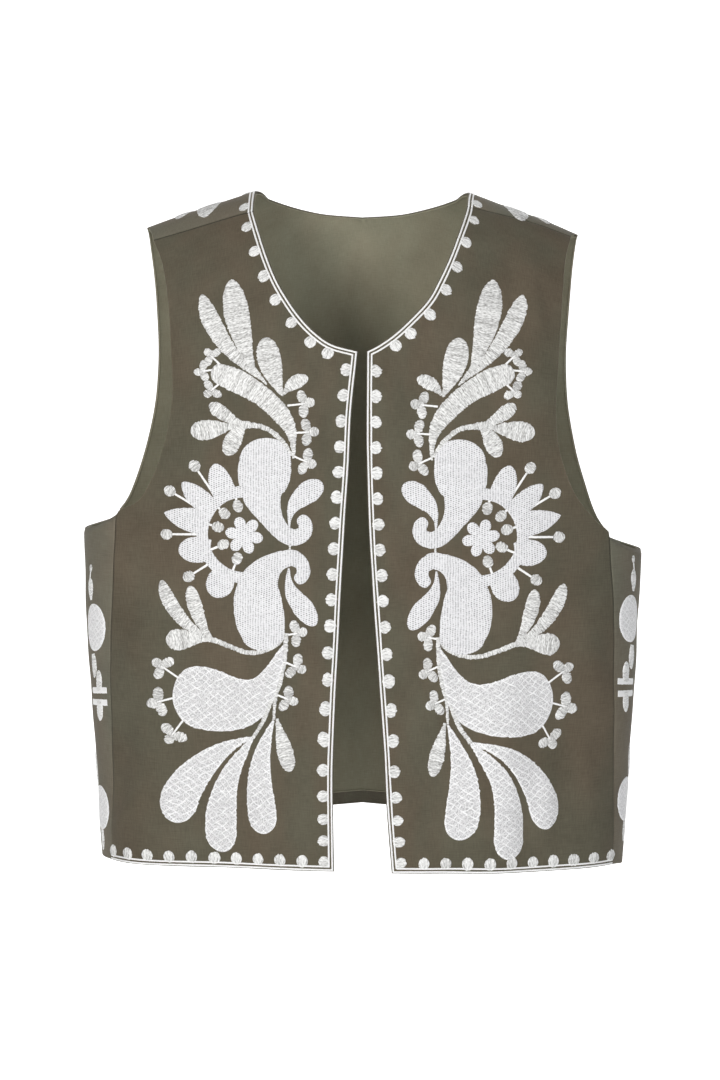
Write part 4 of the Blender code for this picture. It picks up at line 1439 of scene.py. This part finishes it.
# Distances between the dots of the hem, from the side seam
HEM_DOT_GAPS = (21.4, 20.1, 18.6, 18.5, 18.8, 18.1, 17.8, 17.4, 17.5)
BACK_NECK_DOTS = 5


def run_frame(side, path):
    """An edge's running length, its spots, and its heading and metric at each spot."""
    points, _, turn_length, climb_length = form_frame(side, path[:, 0], path[:, 1])
    lengths = np.concatenate([[0.0], np.cumsum(np.linalg.norm(np.diff(points, axis=0), axis=1))])
    keep = np.concatenate([[True], np.diff(lengths) > TINY])
    lengths, path = lengths[keep], path[keep]
    turn_length, climb_length = turn_length[keep], climb_length[keep]
    way = np.stack([np.gradient(path[:, 0], lengths) * turn_length,
                    np.gradient(path[:, 1], lengths) * climb_length], axis=-1)
    way /= np.linalg.norm(way, axis=1, keepdims=True)
    return np.column_stack([lengths, path, way, turn_length, climb_length])


def beside(run, along, forward, inward):
    """Spots beside an edge: from a place along it, forward and inward by real distances."""
    columns = [np.interp(along, run[:, 0], run[:, k]) for k in range(1, 7)]
    turn, climb, way_turn, way_climb, turn_length, climb_length = columns
    return np.stack([turn + (way_turn * forward + way_climb * inward) / turn_length,
                     climb + (way_climb * forward - way_turn * inward) / climb_length], axis=-1)


def sew_line(piles, side, run, cut_start, cut_end, draw):
    """Sew the two raised lines along an edge. The cuts are how much shorter each line is at its
    ends for every unit of its inset, where it meets the line round a corner."""
    total = run[-1, 0] / MM
    for inset in LINE_INSETS:
        start = max(0.0, cut_start * inset - LINE_WIDTH / 2) if cut_start else 0.0
        end = total - (max(0.0, cut_end * inset - LINE_WIDTH / 2) if cut_end else 0.0)
        along = np.arange(start, end, LINE_PITCH)
        wave = LINE_SWAY * np.sin(along / LINE_WAVE + draw.uniform(0, 6))
        wave += draw.normal(0, LINE_SHAKE, len(along))
        across = np.array(LINE_COLUMNS)[None, :]
        offset = across * LINE_WIDTH / 2 + wave[:, None]
        beat = np.where(np.arange(len(along)) % 2 == 0, *LINE_BEAT)[:, None]
        height = (LINE_HEIGHT + beat) * (1.0 - np.abs(across) ** LINE_DOME_POWER) ** 0.5
        height[:, [0, -1]] = -EDGE_SINK
        height[[0, -1], :] = -EDGE_SINK
        along_grid = np.broadcast_to(along[:, None], offset.shape)
        shade = np.broadcast_to(draw.normal(*LINE_TONES, len(along))[:, None], offset.shape)
        spots = beside(run, along_grid * MM, 0.0, (inset + offset) * MM)
        pile(piles, "cord", side, spots, (None, None, height, shade, offset, along_grid))


def sew_dots(piles, side, run, places, sizes, draw):
    """Sew one oval dot at each place along an edge."""
    for spot_along, (long_way, short_way) in zip(places, sizes):
        angle = draw.normal(0.0, TRIM_DOT_TURN)
        size = draw.normal(1.0, TRIM_DOT_SIZE, 2)
        stations = oval_stations((0.0, 0.0), heading(angle), long_way * size[0], short_way * size[1])
        grid = band("satin", stations, draw, draw.uniform(*TRIM_DOT_TONES))
        inset = DOT_INSET + draw.normal(0.0, TRIM_DOT_SHIFT)
        spots = beside(run, np.full(grid[0].shape, spot_along), grid[0] * MM, (grid[1] + inset) * MM)
        pile(piles, "satin", side, spots, grid)


def spread(gaps, run, ends):
    """Places along a run, off its ends, with the gaps between them in given shares."""
    start, end = ends[0], run[-1, 0] - ends[1]
    return start + (end - start) * np.concatenate([[0.0], np.cumsum(gaps)]) / sum(gaps)


def sew_front_trim(piles, side, draw):
    """Trim of one front: hem, open edge and neck."""
    hem_turn = seam_turn(hem_height(side, 0.0), -1)
    lowest = float(hem_height(side, 0.0))
    hem_end = turn_at("front", smooth_table(FRONT_EDGE, lowest, side_column(side)), lowest)
    turn = np.linspace(hem_turn, hem_end, PATH_STEPS)
    hem = run_frame(side, np.stack([turn, hem_height(side, turn)], axis=-1))
    lowest = float(hem_height(side, hem_end))
    edge = run_frame(side, front_edge_path(side, lowest, FRONT_NECK[0][0]))
    neck = run_frame(side, front_neck_path(side))
    bend = math.acos(np.clip(edge[-1, 3:5] @ neck[2, 3:5], -1.0, 1.0))
    corner = 1.0 / math.tan((math.pi - bend) / 2)
    sew_line(piles, side, hem, 0.0, 1.0, draw)
    sew_line(piles, side, edge, 1.0, corner, draw)
    sew_line(piles, side, neck, corner, 0.0, draw)
    sizes = [(gap * HEM_DOT_SHARE, HEM_DOT_LENGTH) for gap in (HEM_DOT_GAPS[0], *HEM_DOT_GAPS)]
    sew_dots(piles, side, hem, spread(HEM_DOT_GAPS, hem, HEM_DOT_ENDS), sizes, draw)
    gaps = EDGE_DOT_GAPS + (EDGE_DOT_GAP,) * (EDGE_DOTS - 1 - len(EDGE_DOT_GAPS))
    sizes = [(gap * DOT_ALONG_SHARE, NECK_DOT[1]) for gap in (gaps[0], *gaps)]
    sew_dots(piles, side, edge, spread(gaps, edge, EDGE_DOT_ENDS), sizes, draw)
    places = spread(NECK_DOT_GAPS, neck, NECK_DOT_ENDS)
    sew_dots(piles, side, neck, places, [NECK_DOT] * len(places), draw)


def sew_back_trim(piles, side, draw):
    """Trim of the back neck, from the shoulder seam to the centre."""
    neck = run_frame(side, at_shares(back_neck_path(side), np.linspace(1.0, 0.0, PATH_STEPS)))
    sew_line(piles, side, neck, 0.0, 0.0, draw)
    places = spread((1.0,) * (BACK_NECK_DOTS - 1), neck, BACK_NECK_DOT_ENDS)
    sew_dots(piles, side, neck, places, [NECK_DOT] * BACK_NECK_DOTS, draw)


# Column of ornament on the back piece beside each side seam, in millimetres behind the seam and
# below the origin: leaves and balls first, then bars and the dot on its stalk
SIDE_COLUMN_RISE = {"right": -2.0, "left": 5.0}
SIDE_LEAVES = (
    ("satin", 30.0, 313.0, 31.0, 296.0, 0.8, 10.5, 0.60, 3.0, 1.2, 0.55),
    ("satin", 27.0, 355.0, 26.0, 374.0, 0.8, 10.5, 0.45, 6.0, 1.0, 0.60),
    ("satin", 16.5, 383.0, 16.5, 367.0, 0.0, 10.4, 0.50, 9.0, 1.0, 0.60),
    ("satin", 16.5, 391.0, 16.5, 407.0, 0.0, 10.4, 0.50, 9.0, 1.0, 0.60),
    ("satin", 33.0, 460.0, 35.0, 434.0, 1.5, 10.5, 0.60, 3.0, 1.2, 0.55),
    ("satin", 24.0, 493.0, 22.0, 511.0, 0.8, 9.0, 0.50, 5.0, 1.0, 0.60),
)
SIDE_BALLS = ((24.0, 334.0, 36.5, 37.0), (23.5, 477.0, 37.0, 35.0))
SIDE_BARS = (((4.5, 381.6), (31.0, 384.4), 5.0), ((4.5, 391.4), (31.0, 393.6), 5.0))
SIDE_DOT = ((31.5, 288.0), (33.0, 297.0))
SIDE_DOT_SHAPE = (0.7, 0.6)
SIDE_TONE = 2.4


def side_spots(side, behind, down):
    """Spots on the back piece at millimetres behind the side seam and below the origin."""
    z = (SIDE_COLUMN_RISE[side] - down) * MM
    seam = seam_turn(z, 1)
    turn = seam + behind * MM / SPOT_RADIUS
    for _ in range(SEAM_ROUNDS):
        places = (seam + (turn - seam) * share for share in (0.0, 0.5, 1.0))
        near, half, far = (form_frame(side, place, z)[2] for place in places)
        turn = seam + behind * MM * 6.0 / (near + 4.0 * half + far)
    return np.stack([turn, z], axis=-1)


def sew_side_column(piles, side, draw):
    """Sew the column of ornament beside one side seam."""
    bands = leaf_bands(SIDE_LEAVES, SIDE_TONE)
    for behind, down, wide, tall in SIDE_BALLS:
        bands.append(("net", oval_stations((behind, down), (0.0, 1.0), tall, wide), SIDE_TONE))
    for start, end, thick in SIDE_BARS:
        bands.append(("cord", [(*start, thick), (*end, thick)], SIDE_TONE))
    dot, foot = SIDE_DOT
    long_way, short_way = DOT_SIZE * np.array(SIDE_DOT_SHAPE)
    bands.append(("satin", oval_stations(dot, (0.0, 1.0), long_way, short_way), 0.0))
    bands.append(("cord", [(*foot, STALK_WIDTH), (*dot, STALK_WIDTH)], STALK_TONE))
    for kind, stations, tone in bands:
        grid = band(kind, stations, draw, tone)
        pile(piles, kind, side, side_spots(side, grid[0], grid[1]), grid)


def stitch_objects(name, piles, materials):
    """One mesh of each kind of stitch on a panel."""
    pieces = []
    for kind, grids in piles.items():
        points, uv, shade, faces, count = [], [], [], [], 0
        for side in SIDES:
            mine = [grid for grid in grids if grid[0] == side]
            if not mine:
                continue
            spots = np.vstack([grid[1].reshape(-1, 2) for grid in mine])
            height = np.concatenate([grid[2].reshape(-1) for grid in mine])
            place_at, _ = surface(side, spots[:, 0], spots[:, 1], height)
            points.append(place_at)
            for grid in mine:
                uv.append(np.stack([grid[4], grid[5]], axis=-1).reshape(-1, 2))
                shade.append(np.asarray(grid[3]).reshape(-1))
                faces.append(grid_faces(*grid[2].shape, side == "right") + count)
                count += grid[2].size
        piece = mesh_object(name + "_" + kind, np.vstack(points), np.vstack(faces), np.vstack(uv),
                            materials[kind], np.concatenate(shade))
        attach(piece, "root")
        pieces.append(piece)
    return pieces


def add_panel(name, patches, wall, sink, material, node):
    """One cloth piece in place of its CAD node."""
    cloth = cloth_shell(name, patches, wall, sink, material)
    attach(cloth, "root")
    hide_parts(node)


def main():
    add_stage()
    add_lights()
    add_camera()
    threads = {"satin": satin_material(), "fill": fill_material(), "net": net_material(),
               "cord": cord_material()}
    front_cloth = cloth_material("front_cotton", FRONT_TONES, FRONT_PATCHY)
    # Back cloth painted lighter than the front: a painted highlight on the sides
    back_cloth_painted_lighter = cloth_material("back_cotton_painted_lighter", BACK_PAINTED_LIGHTER_TONES, BACK_PATCHY)
    # Lining: its own colour, painted lighter as painted light for the dim inside
    lining_cloth_painted_lighter = cloth_material("lining_cotton_painted_lighter", LINING_TONES_PAINTED_LIGHTER, LINING_PATCHY)
    draw = np.random.default_rng(SEED + 1)
    for side in SIDES:
        node = "front_" + side
        piles = {}
        sew_chart(piles, side, "front", draw)
        sew_front_trim(piles, side, draw)
        stitches = stitch_objects(node + "_stitches", piles, threads)
        add_panel("vest_" + node, [front_patch(side)], FRONT_WALL, 0.0, front_cloth, node)
    low = {side: back_side_spots(side) for side in SIDES}
    high = {side: back_top_spots(side) for side in SIDES}
    piles = {}
    for side in SIDES:
        sew_chart(piles, side, "back", draw)
        sew_back_trim(piles, side, draw)
        sew_side_column(piles, side, draw)
    stitches = stitch_objects("back_stitches", piles, threads)
    add_panel("vest_back", back_patches(low, high), BACK_WALL, 0.0, back_cloth_painted_lighter, "back")
    add_panel("vest_lining", lining_patches(low, high), LINING_WALL, LINING_DEPTH, lining_cloth_painted_lighter,
              "back_lining")


main()
